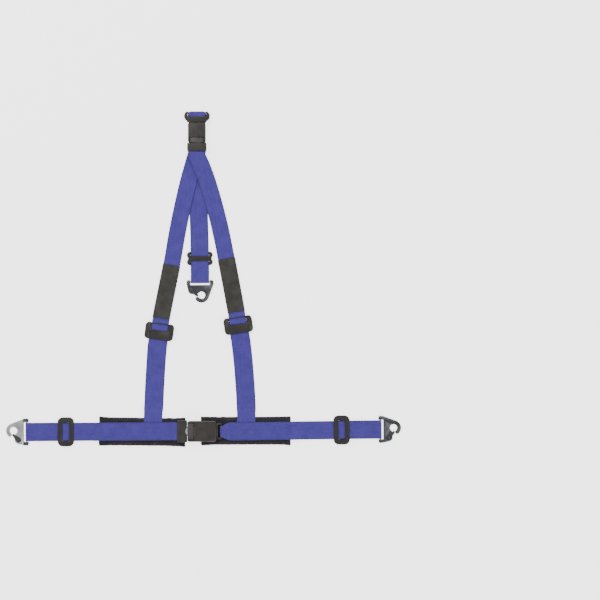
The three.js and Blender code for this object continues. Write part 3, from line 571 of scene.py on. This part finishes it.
def stitches(name, plan, marks, body, look="thread", radius=0.34):
    """Rows of stitches on a strap's top face."""
    pairs = []
    for (a0, x0), (a1, x1), height in marks:
        ends = []
        for a, x in ((a0, x0), (a1, x1)):
            heading = plan.direction(a)
            flat = plan.point(a) + np.array([-heading[1], heading[0]]) * x
            ends.append(np.array([*flat, height(a) if callable(height) else height]))
        pairs.append(ends)
    obj = thread_grains(name, pairs, look, radius)
    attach(obj, body)
    return obj


def box_stitch(height, start, end, half):
    """The box-and-cross pattern that sews one layer of webbing to another."""
    marks = stitch_row(height, start, end, half) + stitch_row(height, start, end, -half)
    marks += cross_row(height, start, -half, half) + cross_row(height, end, -half, half)
    count = max(4, round(math.hypot(end - start, 2 * half) / STITCH["pitch"]))
    for flip in (1, -1):
        for i in range(1, count - 1):
            shares = [(i + k) / count for k in STITCH["covers"]]
            ends = [(start + (end - start) * share, flip * half * (2 * share - 1)) for share in shares]
            marks.append((*ends, height))
    return marks


left_lap = Plan([(-50.5, 0.5), (HOOK_BAR["left"], -2.5)])
right_lap = Plan([(62.3, -0.5), (HOOK_BAR["right"], 4.5)])
rear_plan = Plan([(5.5, HOOK_BAR["rear"]), (5, 470), (0, 640), (-2.5, 740), (-2.5, 770), (-2.5, TOP_BAR_Y)])
left_shoulder = Plan([
    (-119, -20), (-118, 40), (-113, 150), (-107.9, 222), (-105.6, 238), (-98.4, 290), (-96.1, 306),
    (-70, 438), (-52, 540), (-28, 650), (-10, 715), (-2.5, 741),
])
right_shoulder = Plan([
    (127, -20), (128, 57), (121, 170), (113.7, 238), (111.2, 254), (103, 307), (100.6, 322),
    (76, 453), (54, 558), (27, 655), (10, 702), (0, 724), (-2.5, 733), (-2.5, 738.5),
])


def along_plan(plan, distance, z=0.0):
    return row(*plan.point(distance), z)


def ripple(start, end, amount, seed):
    """Slow waves in a strap between two distances, only upwards, and none at its ends."""
    def lift(distance, across):
        if not start < distance < end:
            return 0.0
        fade = eased(min(distance - start, end - distance) / 45)
        wave = noise.noise(Vector((distance / 62.0, across / 90.0, seed))) + 0.5
        curl = 0.25 * (across / 24.0) ** 2 * (1 + noise.noise(Vector((distance / 40.0, seed, 3.0))))
        return max(0.0, fade * amount * (wave + curl))
    return lift


# ------------------------------ lap belt
def lap_profile(plan, pad_end, return_from):
    """Round the fastening's bar, over the pad, down to the sliders' level and round the hook's bar."""
    radius = around(LAP["bar_radius"])
    height = CENTRE_WRAP_HEIGHT
    hook = plan.length
    return route(
        level(return_from, 0, height - radius),
        wrap(0, height, radius, -90, -270),
        ramp(LAP["leaves_bar"], height + radius, LAP["settled"], OVER_PAD),
        level(LAP["settled"], pad_end, OVER_PAD),
        ramp(pad_end, OVER_PAD, pad_end + LAP["drop"], TOP),
        level(pad_end + LAP["drop"], hook, TOP),
        wrap(hook, BAR["height"], BAR_WRAP, 90, -90),
        level(hook, hook - LAP["under_hook"], FLOOR),
    )


def return_profiles(hook_at, bar_at, tail, away):
    """The folded-back end in two stretches: flat under the strap, then sewn round the slider's bar."""
    radius = around(RETURN_BAR["radius"])
    over = RETURN_BAR["height"] + radius
    turn = (-90, 90) if away > 0 else (-90, -270)
    edge = bar_at + 2.9 * away
    flat = route(level(hook_at + 6.3 * away, bar_at - 5 * away, FLOOR))
    falls_from, falls_to = edge - tail[0] * away, edge - tail[1] * away
    sewn = route(
        level(bar_at - 5 * away, edge, FLOOR),
        wrap(edge, RETURN_BAR["height"], radius, *turn),
        level(edge, falls_from, over),
        ramp(falls_from, over, falls_to, FLOOR + LAYER),
        level(falls_to, edge - tail[2] * away, FLOOR + LAYER),
    )
    return flat, sewn


def neck_width(distance, height):
    """The right lap strap narrows to the fastening's bar."""
    return WEB["neck"] + (WEB["lap"] - WEB["neck"]) * min(max((distance - 2) / 20, 0), 1)


def lap_distance(plan, x):
    """How far along a lap strap a place is, by its x."""
    return abs(plan.point(0)[0] - x)


def build_lap(side, plan, pad_end, return_from, width):
    profile = lap_profile(plan, lap_distance(plan, pad_end) + 1, return_from)
    strap(f"{side}_lap_strap", f"{side}_lap_webbing", plan, profile, width)
    slider = lap_distance(plan, LAP_SLIDER_AT[side])
    bodies = (f"{side}_side", f"{side}_lap_adjusting_slider")
    build_return(side, plan, plan.length, slider, f"{side}_lap_return_webbing", bodies, (18, 28, 34))


def build_return(side, plan, hook_at, bar_at, cad_node, bodies, tail):
    """The tail is where the sewn end starts to fall, lies flat again and stops, back from its bar."""
    away = math.copysign(1, bar_at - hook_at)
    flat, sewn = return_profiles(hook_at, bar_at, tail, away)
    start = along_plan(plan, hook_at + 8 * away)
    end = along_plan(plan, bar_at - 7 * away)
    strap(f"{side}_return_strap", cad_node, plan, flat, WEB["lap"], blend=(*bodies, start, end))
    obj, length = ribbon(f"{side}_return_fold", plan, sewn, WEB["lap"], "webbing")
    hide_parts(cad_node)
    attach(obj, bodies[1])


build_lap("left", left_lap, PAD["left"][0], 38, WEB["lap"])
build_lap("right", right_lap, PAD["right"][1], 34, neck_width)

STRAP_TOP = WEB["thickness"] / 2
PAD_STRAP_TOP = OVER_PAD + STRAP_TOP


def sew_lap(side, plan, x_tongue, x_box, x_end):
    """Rows across the strap by the fastening, a box over the shoulder strap, and rows by the pad's end."""
    half = WEB["lap"] / 2 - 3.5
    outward = -1 if side == "left" else 1
    near = [lap_distance(plan, x_tongue + k * 3.0 * outward) for k in range(4)]
    far = lap_distance(plan, x_end)
    box = [lap_distance(plan, x) for x in x_box]
    marks = []
    for at in near:
        marks += cross_row(PAD_STRAP_TOP, at, -half, half)
    marks += box_stitch(PAD_STRAP_TOP, *box, half - 1)
    for k in range(3):
        marks += cross_row(PAD_STRAP_TOP, far - 4.0 * k, -half, half)
    for edge in (-half - 0.5, half + 0.5):
        marks += stitch_row(PAD_STRAP_TOP, near[-1] + 4, far - 12, edge)
    stitches(f"{side}_lap_sewing", plan, marks, f"{side}_side")


sew_lap("left", left_lap, -67, (-98, -140), -258)
sew_lap("right", right_lap, 84, (101, 150), 242)


# ------------------------------ shoulder straps
def over_adjuster(distance):
    """How high the strap lies past an adjuster's centre: over the lock bar, over the tail, then flat."""
    top = LOCK_HEIGHT + LOCK_WRAP
    low = FLOOR + LAYER * (1 - eased((distance - SHOULDER["tail"] - 6) / 24))
    rise = SHOULDER["dropped"] - SHOULDER["over_lock"]
    return low + (top - low) * eased((SHOULDER["dropped"] - distance) / rise)


def follow(centre, start, end, raised=0.0, step=3.0):
    """A stretch of profile that lies at over_adjuster's height."""
    count = math.ceil(abs(end - start) / step)
    places = (start + (end - start) * i / count for i in range(count + 1))
    return [(centre + d, over_adjuster(d) + raised) for d in places]


def build_shoulder(side, plan, upper_route, apex_blend):
    centre = plan.distance_at_y(ADJUSTER[side])
    rod, lock = centre + ADJUSTER["rod_at"], centre + ADJUSTER["lock_at"]
    foot = plan.distance_at_y(FOOT["y"])
    landed = foot + FOOT["drop"]
    lifts, lifted, climbed = (centre - LOWER[k] for k in ("lifts", "lifted", "climbed"))
    bodies = (f"{side}_side", f"{side}_adjuster")
    lower = route(
        level(0, foot, ON_PAD),
        ramp(foot, ON_PAD, landed, FLOOR),
        level(landed, lifts, FLOOR),
        ramp(lifts, FLOOR, lifted, FLOOR + LAYER),
        ramp(lifted, FLOOR + LAYER, climbed, TOP),
        level(climbed, rod, TOP),
        wrap(rod, BAR["height"], BAR_WRAP, 90, -90),
        level(rod, centre - LOWER["end"], FLOOR),
    )
    squeezed = lambda d, z: WEB["lower"] - FOOT["squeeze"] * min(max((foot + 12 - d) / 8, 0), 1)
    moving = (*bodies, along_plan(plan, foot + 30), along_plan(plan, centre - 84))
    strap(f"{side}_lower_strap", f"{side}_shoulder_lower_webbing", plan, lower, squeezed, "webbing_lower",
          lift=ripple(foot + 20, centre - 96, 1.1, 7.0 + len(side)), blend=moving)
    under, dropped = centre + SHOULDER["under_lock"], centre + SHOULDER["dropped"]
    adjusting = route(
        follow(centre, SHOULDER["splice"], SHOULDER["over_lock"]),
        level(centre + SHOULDER["over_lock"], lock, LOCK_HEIGHT + LOCK_WRAP),
        wrap(lock, LOCK_HEIGHT, LOCK_WRAP, 90, 270),
        level(lock, under, LOCK_HEIGHT - LOCK_WRAP),
        ramp(under, LOCK_HEIGHT - LOCK_WRAP, dropped, FLOOR),
        level(dropped, centre + SHOULDER["tail"], FLOOR),
    )
    moving = (*bodies, along_plan(plan, centre + 64), along_plan(plan, centre + 27))
    strap(f"{side}_adjusting_strap", f"{side}_shoulder_adjusting_webbing", plan, adjusting, WEB["upper"],
          "webbing_narrow", blend=moving)
    upper = route(follow(centre, SHOULDER["splice"] + GAP, SHOULDER["clear"]),
                  *upper_route(plan, centre + SHOULDER["clear"]))
    strap(f"{side}_upper_strap", f"{side}_shoulder_upper_webbing", plan, upper, WEB["upper"],
          "webbing_narrow", lift=ripple(centre + 190, plan.distance_at_y(500), 1.0, 2.0 + len(side)),
          blend=apex_blend)
    build_label(side, plan, centre)


def build_label(side, plan, centre):
    """A plain woven sleeve round the strap, hemmed at both ends and sewn down along its sides."""
    thick = SHOULDER["label_thickness"]
    raised = (WEB["thickness"] + thick) / 2 + 2 * GAP
    width = WEB["upper"] + 1.5
    profile = follow(centre, SHOULDER["label_from"], SHOULDER["label_to"], raised)
    obj, length = ribbon(f"{side}_label", plan, profile, width, "label", thick)
    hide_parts(f"{side}_shoulder_label")
    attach(obj, f"{side}_side")
    top = lambda a: over_adjuster(a - centre) + raised + thick / 2
    ends = (centre + SHOULDER["label_from"] + 3, centre + SHOULDER["label_to"] - 3)
    edges = (-width / 2 + 2.2, width / 2 - 2.2)
    marks = []
    for edge in edges:
        marks += stitch_row(top, *ends, edge, STITCH["label_pitch"])
    for at in ends:
        marks += cross_row(top, at, *edges, STITCH["label_pitch"])
    stitches(f"{side}_label_sewing", plan, marks, f"{side}_side", "black_thread", 0.26)


def left_upper(plan, start):
    """Rises over the rear strap and runs on to the neck."""
    rises, risen = (plan.distance_at_y(y) for y in CROSSING["left_rise"])
    return [
        level(start, rises, FLOOR),
        ramp(rises, FLOOR, risen, FLOOR + LAYER),
        level(risen, plan.length, FLOOR + LAYER),
    ]


def right_upper(plan, start):
    """Rises over the rear strap and over the left one, and folds round the rear tongue's bar."""
    height, radius = REAR_BAR["tongue_height"], around(REAR_BAR["tongue_radius"])
    rear_from, rear_to = (plan.distance_at_y(y) for y in CROSSING["over_rear"])
    left_from, left_to = (plan.distance_at_y(y) for y in CROSSING["over_left"])
    tongue_from, tongue_to = (plan.distance_at_y(y) for y in CROSSING["to_tongue"])
    return [
        level(start, rear_from, FLOOR),
        ramp(rear_from, FLOOR, rear_to, FLOOR + LAYER),
        ramp(left_from, FLOOR + LAYER, left_to, FLOOR + 2 * LAYER),
        level(left_to, tongue_from, FLOOR + 2 * LAYER),
        ramp(tongue_from, FLOOR + 2 * LAYER, tongue_to, height + radius),
        level(tongue_to, plan.length, height + radius),
        wrap(plan.length, height, radius, 90, -90),
        level(plan.length, plan.distance_at_y(CROSSING["fold_end"]), height - radius),
    ]


apex = row(-2.5, 741)
build_shoulder("left", left_shoulder, left_upper, ("left_side", "right_side", row(-40, 600), apex))
build_shoulder("right", right_shoulder, right_upper, None)


def sew_shoulder_foot(side, plan):
    """Rows that close the doubled foot of a shoulder strap, where it comes off the pad."""
    foot = plan.distance_at_y(FOOT["y"])
    half = WEB["lower"] / 2 - 4
    height = lambda a: FLOOR + (ON_PAD - FLOOR) * (1 - eased((a - foot) / FOOT["drop"])) + STRAP_TOP
    marks = []
    for at in (foot + 14, foot + 18):
        marks += cross_row(height, at, -half, half)
    stitches(f"{side}_foot_sewing", plan, marks, f"{side}_side")


def sew_apex(plan):
    """A box and cross where both shoulder straps and the rear strap lie on each other."""
    start, end = (plan.distance_at_y(y) for y in CROSSING["to_tongue"])
    rise = REAR_BAR["tongue_height"] + REAR_BAR["tongue_radius"] + GAP + STRAP_TOP - FLOOR - 2 * LAYER
    height = lambda a: FLOOR + 2 * LAYER + rise * eased((a - start) / (end - start)) + STRAP_TOP
    marks = box_stitch(height, start + 4, start + 40, WEB["upper"] / 2 - 5)
    stitches("apex_sewing", plan, marks, "right_side")


sew_shoulder_foot("left", left_shoulder)
sew_shoulder_foot("right", right_shoulder)
sew_apex(right_shoulder)


# ------------------------------ rear strap
top_bar = rear_plan.length
buckle_bar = rear_plan.distance_at_y(REAR_BAR["y"])
buckle_wrap = around(REAR_BAR["radius"])
lowers, lowered = REAR["lowers"]
rear_profile = route(
    level(REAR["hook_end"], 0, FLOOR),
    wrap(0, BAR["height"], BAR_WRAP, -90, -270),
    level(0, lowers, TOP),
    ramp(lowers, TOP, lowered, FLOOR),
    level(lowered, top_bar, FLOOR),
    wrap(top_bar, BAR["height"], BAR_WRAP, -90, 90),
    ramp(top_bar - 2, TOP, buckle_bar + 4, REAR_BAR["height"] + buckle_wrap),
    wrap(buckle_bar, REAR_BAR["height"], buckle_wrap, 90, 270),
    level(buckle_bar, top_bar - REAR["fold_end"], REAR_BAR["height"] - buckle_wrap),
)
squeeze_from = rear_plan.distance_at_y(REAR["squeeze_y"])


def rear_width(distance, height):
    """Full width, but rounded at the top fold, narrow in the buckle and squeezed a little under it."""
    if distance > top_bar - 4:
        reach = (distance - top_bar + 4) / (4 + BAR_WRAP)
        return WEB["lap"] - REAR["corner"] * max(reach, 0.0) ** 2
    if height > FLOOR + LAYER and distance > top_bar / 2:
        share = min(max((top_bar - 3 - distance) / 14, 0), 1)
        return WEB["lap"] - (WEB["lap"] - WEB["rear_neck"]) * share
    squeezed = eased((distance - squeeze_from) / 25) * eased((top_bar - 8 - distance) / 12)
    return WEB["lap"] - REAR["squeeze"] * squeezed


strap("rear_strap", "rear_webbing", rear_plan, rear_profile, rear_width)
rear_slider_at = rear_plan.distance_at_y(REAR_SLIDER["at"])
build_return("rear", rear_plan, 0, rear_slider_at - REAR_SLIDER["length"] / 2 + 3, "rear_return_webbing",
             ("rear_assembly", "rear_adjusting_slider"), (3.5, 8.5, 10.5))


# ------------------------------ pads
def pad_shell(side):
    """A thin-edged quilted pad: the top and bottom cloths meet in a seam all round."""
    low, high = PAD[side]
    length, width, corner = high - low, PAD["width"], PAD["corner"]
    thick = PAD["thickness"]
    nx, ny = round(length / PUFF["cell"]), round(width / PUFF["cell"])
    vertices, faces = [], []

    def inset(x, y):
        """Distance from the rounded outline, inwards."""
        qx, qy = abs(x) - (length / 2 - corner), abs(y) - (width / 2 - corner)
        outside = math.hypot(max(qx, 0), max(qy, 0))
        return corner - (outside + min(max(qx, qy), 0))

    index = {}
    for layer in (0, 1):
        for i in range(nx + 1):
            for j in range(ny + 1):
                u, v = 2 * i / nx - 1, 2 * j / ny - 1
                x, y = u * length / 2, v * width / 2
                d = inset(x, y)
                if d < 0:
                    cx, cy = math.copysign(length / 2 - corner, x), math.copysign(width / 2 - corner, y)
                    over = math.hypot(x - cx, y - cy)
                    x, y, d = cx + (x - cx) * corner / over, cy + (y - cy) * corner / over, 0.0
                puff = math.sqrt(min(d / PUFF["reach"], 1.0)) if d > 0 else 0.0
                swell = thick * PUFF["above"] * puff if layer else -thick * PUFF["below"] * min(1, puff * 1.3)
                z = thick * PUFF["seam_height"] + swell
                if layer == 0 or d > 1e-6:
                    index[layer, i, j] = len(vertices)
                    vertices.append((x, y, z))
                else:
                    index[layer, i, j] = index[0, i, j]
    for layer in (0, 1):
        for i in range(nx):
            for j in range(ny):
                quad = [index[layer, i + di, j + dj] for di, dj in ((0, 0), (1, 0), (1, 1), (0, 1))]
                faces.append(quad if layer else quad[::-1])
    return vertices, faces, inset


def simulate(obj):
    """Blows the cover up with cloth pressure, and keeps each point near where it started."""
    frames = 20
    start = np.array([v.co for v in obj.data.vertices])
    cloth = obj.modifiers.new("cloth", "CLOTH")
    cloth.settings.use_pressure = True
    cloth.settings.uniform_pressure_force = 4.0
    cloth.settings.effector_weights.gravity = 0.0
    cloth.settings.quality = 6
    cloth.point_cache.frame_start = 1
    cloth.point_cache.frame_end = frames
    scene = bpy.context.scene
    for step in range(1, frames + 1):
        scene.frame_set(step)
    shown = obj.evaluated_get(bpy.context.evaluated_depsgraph_get())
    moved = np.array([v.co for v in shown.data.vertices]) - start
    far = np.linalg.norm(moved, axis=1, keepdims=True)
    obj.modifiers.remove(cloth)
    scene.frame_set(1)
    places = start + moved * np.minimum(1.0, PUFF["cap"] * MM / np.maximum(far, 1e-9))
    obj.data.vertices.foreach_set("co", places.ravel())
    obj.data.update()


def build_pad(side, centre_y, tilt, seed):
    """A pad made at the origin, which laid() turns and moves to its place under the lap strap."""
    vertices, faces, inset = pad_shell(side)
    obj = piece(f"{side}_pad_cover", [Vector(v) * MM for v in vertices], faces, "pad")
    with editing(obj.data) as work:
        bmesh.ops.remove_doubles(work, verts=work.verts, dist=1e-5)
        bmesh.ops.dissolve_degenerate(work, dist=1e-5, edges=work.edges)
    simulate(obj)
    smoother = obj.modifiers.new("finer", "SUBSURF")
    smoother.levels = 2
    smoother.render_levels = 2
    settle(obj)
    centre = (PAD[side][0] + PAD[side][1]) / 2
    c, s = math.cos(tilt), math.sin(tilt)

    def laid(x, y, z):
        return row(centre + x * c - y * s, centre_y + x * s + y * c, z)

    finish_pad(obj, inset, laid, seed)
    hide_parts(f"{side}_pad")
    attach(obj, f"{side}_side")
    sew_rim(obj, side, laid)


def finish_pad(obj, inset, laid, seed):
    """Puckers the rim, flattens the pad where straps and the floor press it, and lays it in place."""
    band = WEB["lap"] / 2 + 2
    beside_strap = PAD["thickness"] + 2.4
    depths = []
    for vertex in obj.data.vertices:
        x, y, z = (k / MM for k in vertex.co)
        d = max(inset(x, y), 0.0)
        depths.append(d)
        pucker = noise.noise(Vector((x / 7.0, y / 7.0, seed)))
        z += math.exp(-d / 9.0) * 1.5 * pucker + 0.35 * noise.noise(Vector((x / 26.0, y / 26.0, seed + 4)))
        if z > PAD["thickness"] * PUFF["seam_height"]:
            z += TAPE["rise"] * (1 - eased((d - TAPE["width"]) / 1.2))
        edge = math.exp(-d / 6.0)
        x += 1.0 * noise.noise(Vector((y / 11.0, seed, 1.0))) * edge
        y += 1.7 * noise.noise(Vector((x / 13.0, seed, math.copysign(2.0, y)))) * edge
        over_strap = 1 - eased((abs(y) - band) / 8.0)
        ceiling = PAD["thickness"] * over_strap + beside_strap * (1 - over_strap)
        vertex.co = laid(x, y, min(max(z, 0.05), ceiling))
    obj.data.materials.append(LOOKS["binding"])
    for face in obj.data.polygons:
        if sum(depths[v] for v in face.vertices) / len(face.vertices) < TAPE["width"]:
            face.material_index = 1


def sew_rim(obj, side, laid):
    """A row of black stitches along the binding tape, laid on the finished pad."""
    faces = [tuple(f.vertices) for f in obj.data.polygons]
    tree = BVHTree.FromPolygons([v.co for v in obj.data.vertices], faces)
    low, high = PAD[side]
    half_x, half_y = (high - low) / 2 - TAPE["seam"], PAD["width"] / 2 - TAPE["seam"]
    corners = [(-half_x, -half_y), (half_x, -half_y), (half_x, half_y), (-half_x, half_y)]
    pairs = []
    for (x0, y0), (x1, y1) in zip(corners, corners[1:] + corners[:1]):
        count = round(math.hypot(x1 - x0, y1 - y0) / STITCH["rim_pitch"])
        for i in range(1, count - 1):
            ends = []
            for k in STITCH["rim_covers"]:
                share = (i + k) / count
                above = laid(x0 + (x1 - x0) * share, y0 + (y1 - y0) * share, 60)
                hit = tree.ray_cast(above, Vector((0, 0, -1)))[0]
                ends.append(np.array(hit) / MM - ORIGIN if hit else None)
            if all(end is not None for end in ends):
                pairs.append(ends)
    thread = thread_grains(f"{side}_pad_sewing", pairs, "black_thread", 0.3)
    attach(thread, f"{side}_side")


build_pad("left", -1.5, -0.012, 11.0)
build_pad("right", 1.0, 0.003, 23.0)


# ------------------------------ hardware
def keep_side(obj, place, outward):
    """Cuts an object at a plane, keeps what lies outward of it and closes the cut."""
    with editing(obj.data) as work:
        whole = work.verts[:] + work.edges[:] + work.faces[:]
        cut = bmesh.ops.bisect_plane(work, geom=whole, plane_co=place, plane_no=outward, clear_inner=True)
        rim = [e for e in cut["geom_cut"] if isinstance(e, bmesh.types.BMEdge)]
        bmesh.ops.holes_fill(work, edges=rim, sides=0)


def bright_and_dark_plate(side, plan):
    """A hook plate that is bright towards its eye and dark at its heel, by the webbing."""
    # Bright steel on the eye's side of this cut, dark steel on the heel's side.
    place = along_plan(plan, plan.length + DARK_HEEL, BAR["height"])
    outward = Vector((*plan.direction(plan.length), 0.0))
    keep_side(refined(f"{side}_hook_plate", "bright_steel", 0.45), place, outward)
    heel = refined(f"{side}_hook_plate", "dark_steel", 0.45)
    heel.name = f"{side}_hook_heel"
    keep_side(heel, place, -outward)


def hook_fittings(side):
    refined(f"{side}_hook_gate", "dark_steel", 0.3)
    refined(f"{side}_hook_rivet", "dark_steel", 0.3)
    refined(f"{side}_hook_spring", "spring_steel", 0.1)


bright_and_dark_plate("left", left_lap)
hook_fittings("left")
for side in ("right", "rear"):
    refined(f"{side}_hook_plate", "dark_steel", 0.45)
    hook_fittings(side)
for side in ("left", "right"):
    refined(f"{side}_lap_slider", "black_metal", 0.6)
    refined(f"{side}_adjuster_frame", "black_metal", 0.7)
    refined(f"{side}_adjuster_lock_bar", "dark_steel", 0.3)
refined("rear_slider", "black_metal", 0.6)
refined("top_slider", "black_metal", 0.6)
for side in ("centre", "rear"):
    refined(f"{side}_buckle_lower_shell", "plastic", 0.4, merge=False)
    refined(f"{side}_buckle_upper_shell", "plastic", 0.4, merge=False)
    refined(f"{side}_buckle_frame", "black_metal", 0.25)
    refined(f"{side}_buckle_button", "button", 0.4)
    refined(f"{side}_buckle_latch", "dark_steel", 0.25)
    refined(f"{side}_buckle_ejector", "plastic", 0.25)
    refined(f"{side}_tongue_plate", "bright_steel", 0.35)
    refined(f"{side}_tongue_cover", "plastic", 0.6)


# ------------------------------ springs
def bend_spring(cad_node, moving, axis):
    """A coil that shortens between its fixed end, the far one along an axis, and the piece it pushes."""
    mesh = NODES[cad_node].data.copy()
    obj = shown_as(cad_node + "_look", mesh)
    mesh.materials.clear()
    mesh.materials.append(LOOKS["spring_steel"])
    mesh.shade_smooth()
    loose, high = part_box(cad_node)
    fixed = loose.copy()
    fixed[axis] = high[axis]
    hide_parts(cad_node)
    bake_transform(obj, BODY_OF[cad_node], moving, fixed, loose)


for side, axis in (("centre", 0), ("rear", 1)):
    bend_spring(f"{side}_buckle_button_spring", f"{side}_button", axis)
    bend_spring(f"{side}_buckle_ejector_spring", f"{side}_ejector", axis)


# ------------------------------ stage, lights and camera
def floor_material():
    """Pale paper that glows a little, so that the harness casts only a faint shadow."""
    material, tree, bsdf = shader("pale_floor", (0.92, 0.92, 0.925, 1.0), 0.75)
    grain = noise_node(tree, object_place(tree), 30.0, 5.0, 0.6)
    color = blend_colors(tree, grain, (0.9, 0.9, 0.905, 1), (0.94, 0.94, 0.94, 1))
    tree.links.new(color, bsdf.inputs["Base Color"])
    bsdf.inputs["Emission Color"].default_value = (1.0, 1.0, 1.0, 1.0)
    bsdf.inputs["Emission Strength"].default_value = 2.4
    return material


REACH = 6
corners = [(-REACH, -REACH, 0), (REACH, -REACH, 0), (REACH, REACH, 0), (-REACH, REACH, 0)]
LOOKS["floor"] = floor_material()
piece("floor", corners, [(0, 1, 2, 3)], "floor", False)


def area_light(name, place, size, power):
    """A soft square light, in metres and watts, that faces the harness."""
    light = bpy.data.lights.new(name, "AREA")
    light.size = size
    light.energy = power
    obj = shown_as(name, light)
    obj.location = place
    obj.rotation_euler = (-Vector(place)).to_track_quat("-Z", "Y").to_euler()


area_light("soft_key", (-2.2, 2.4, 3.2), 2.4, 125)
area_light("soft_fill", (3.4, -2.6, 2.8), 2.8, 80)
world = bpy.data.worlds.new("studio")
world.use_nodes = True
world.node_tree.nodes["Background"].inputs["Color"].default_value = (1.0, 1.0, 1.0, 1.0)
world.node_tree.nodes["Background"].inputs["Strength"].default_value = 0.78
bpy.context.scene.world = world

VIEW_CENTRE = (270.3, 347.2)
VIEW_WIDTH = 1.59
CAMERA_HEIGHT = 4.2
camera_data = bpy.data.cameras.new("camera")
camera_data.sensor_width = 36
camera_data.lens = camera_data.sensor_width * CAMERA_HEIGHT / VIEW_WIDTH
camera_data.clip_end = 50
camera = shown_as("camera", camera_data)
camera.location = row(*VIEW_CENTRE) + Vector((0, 0, CAMERA_HEIGHT))
bpy.context.scene.camera = camera
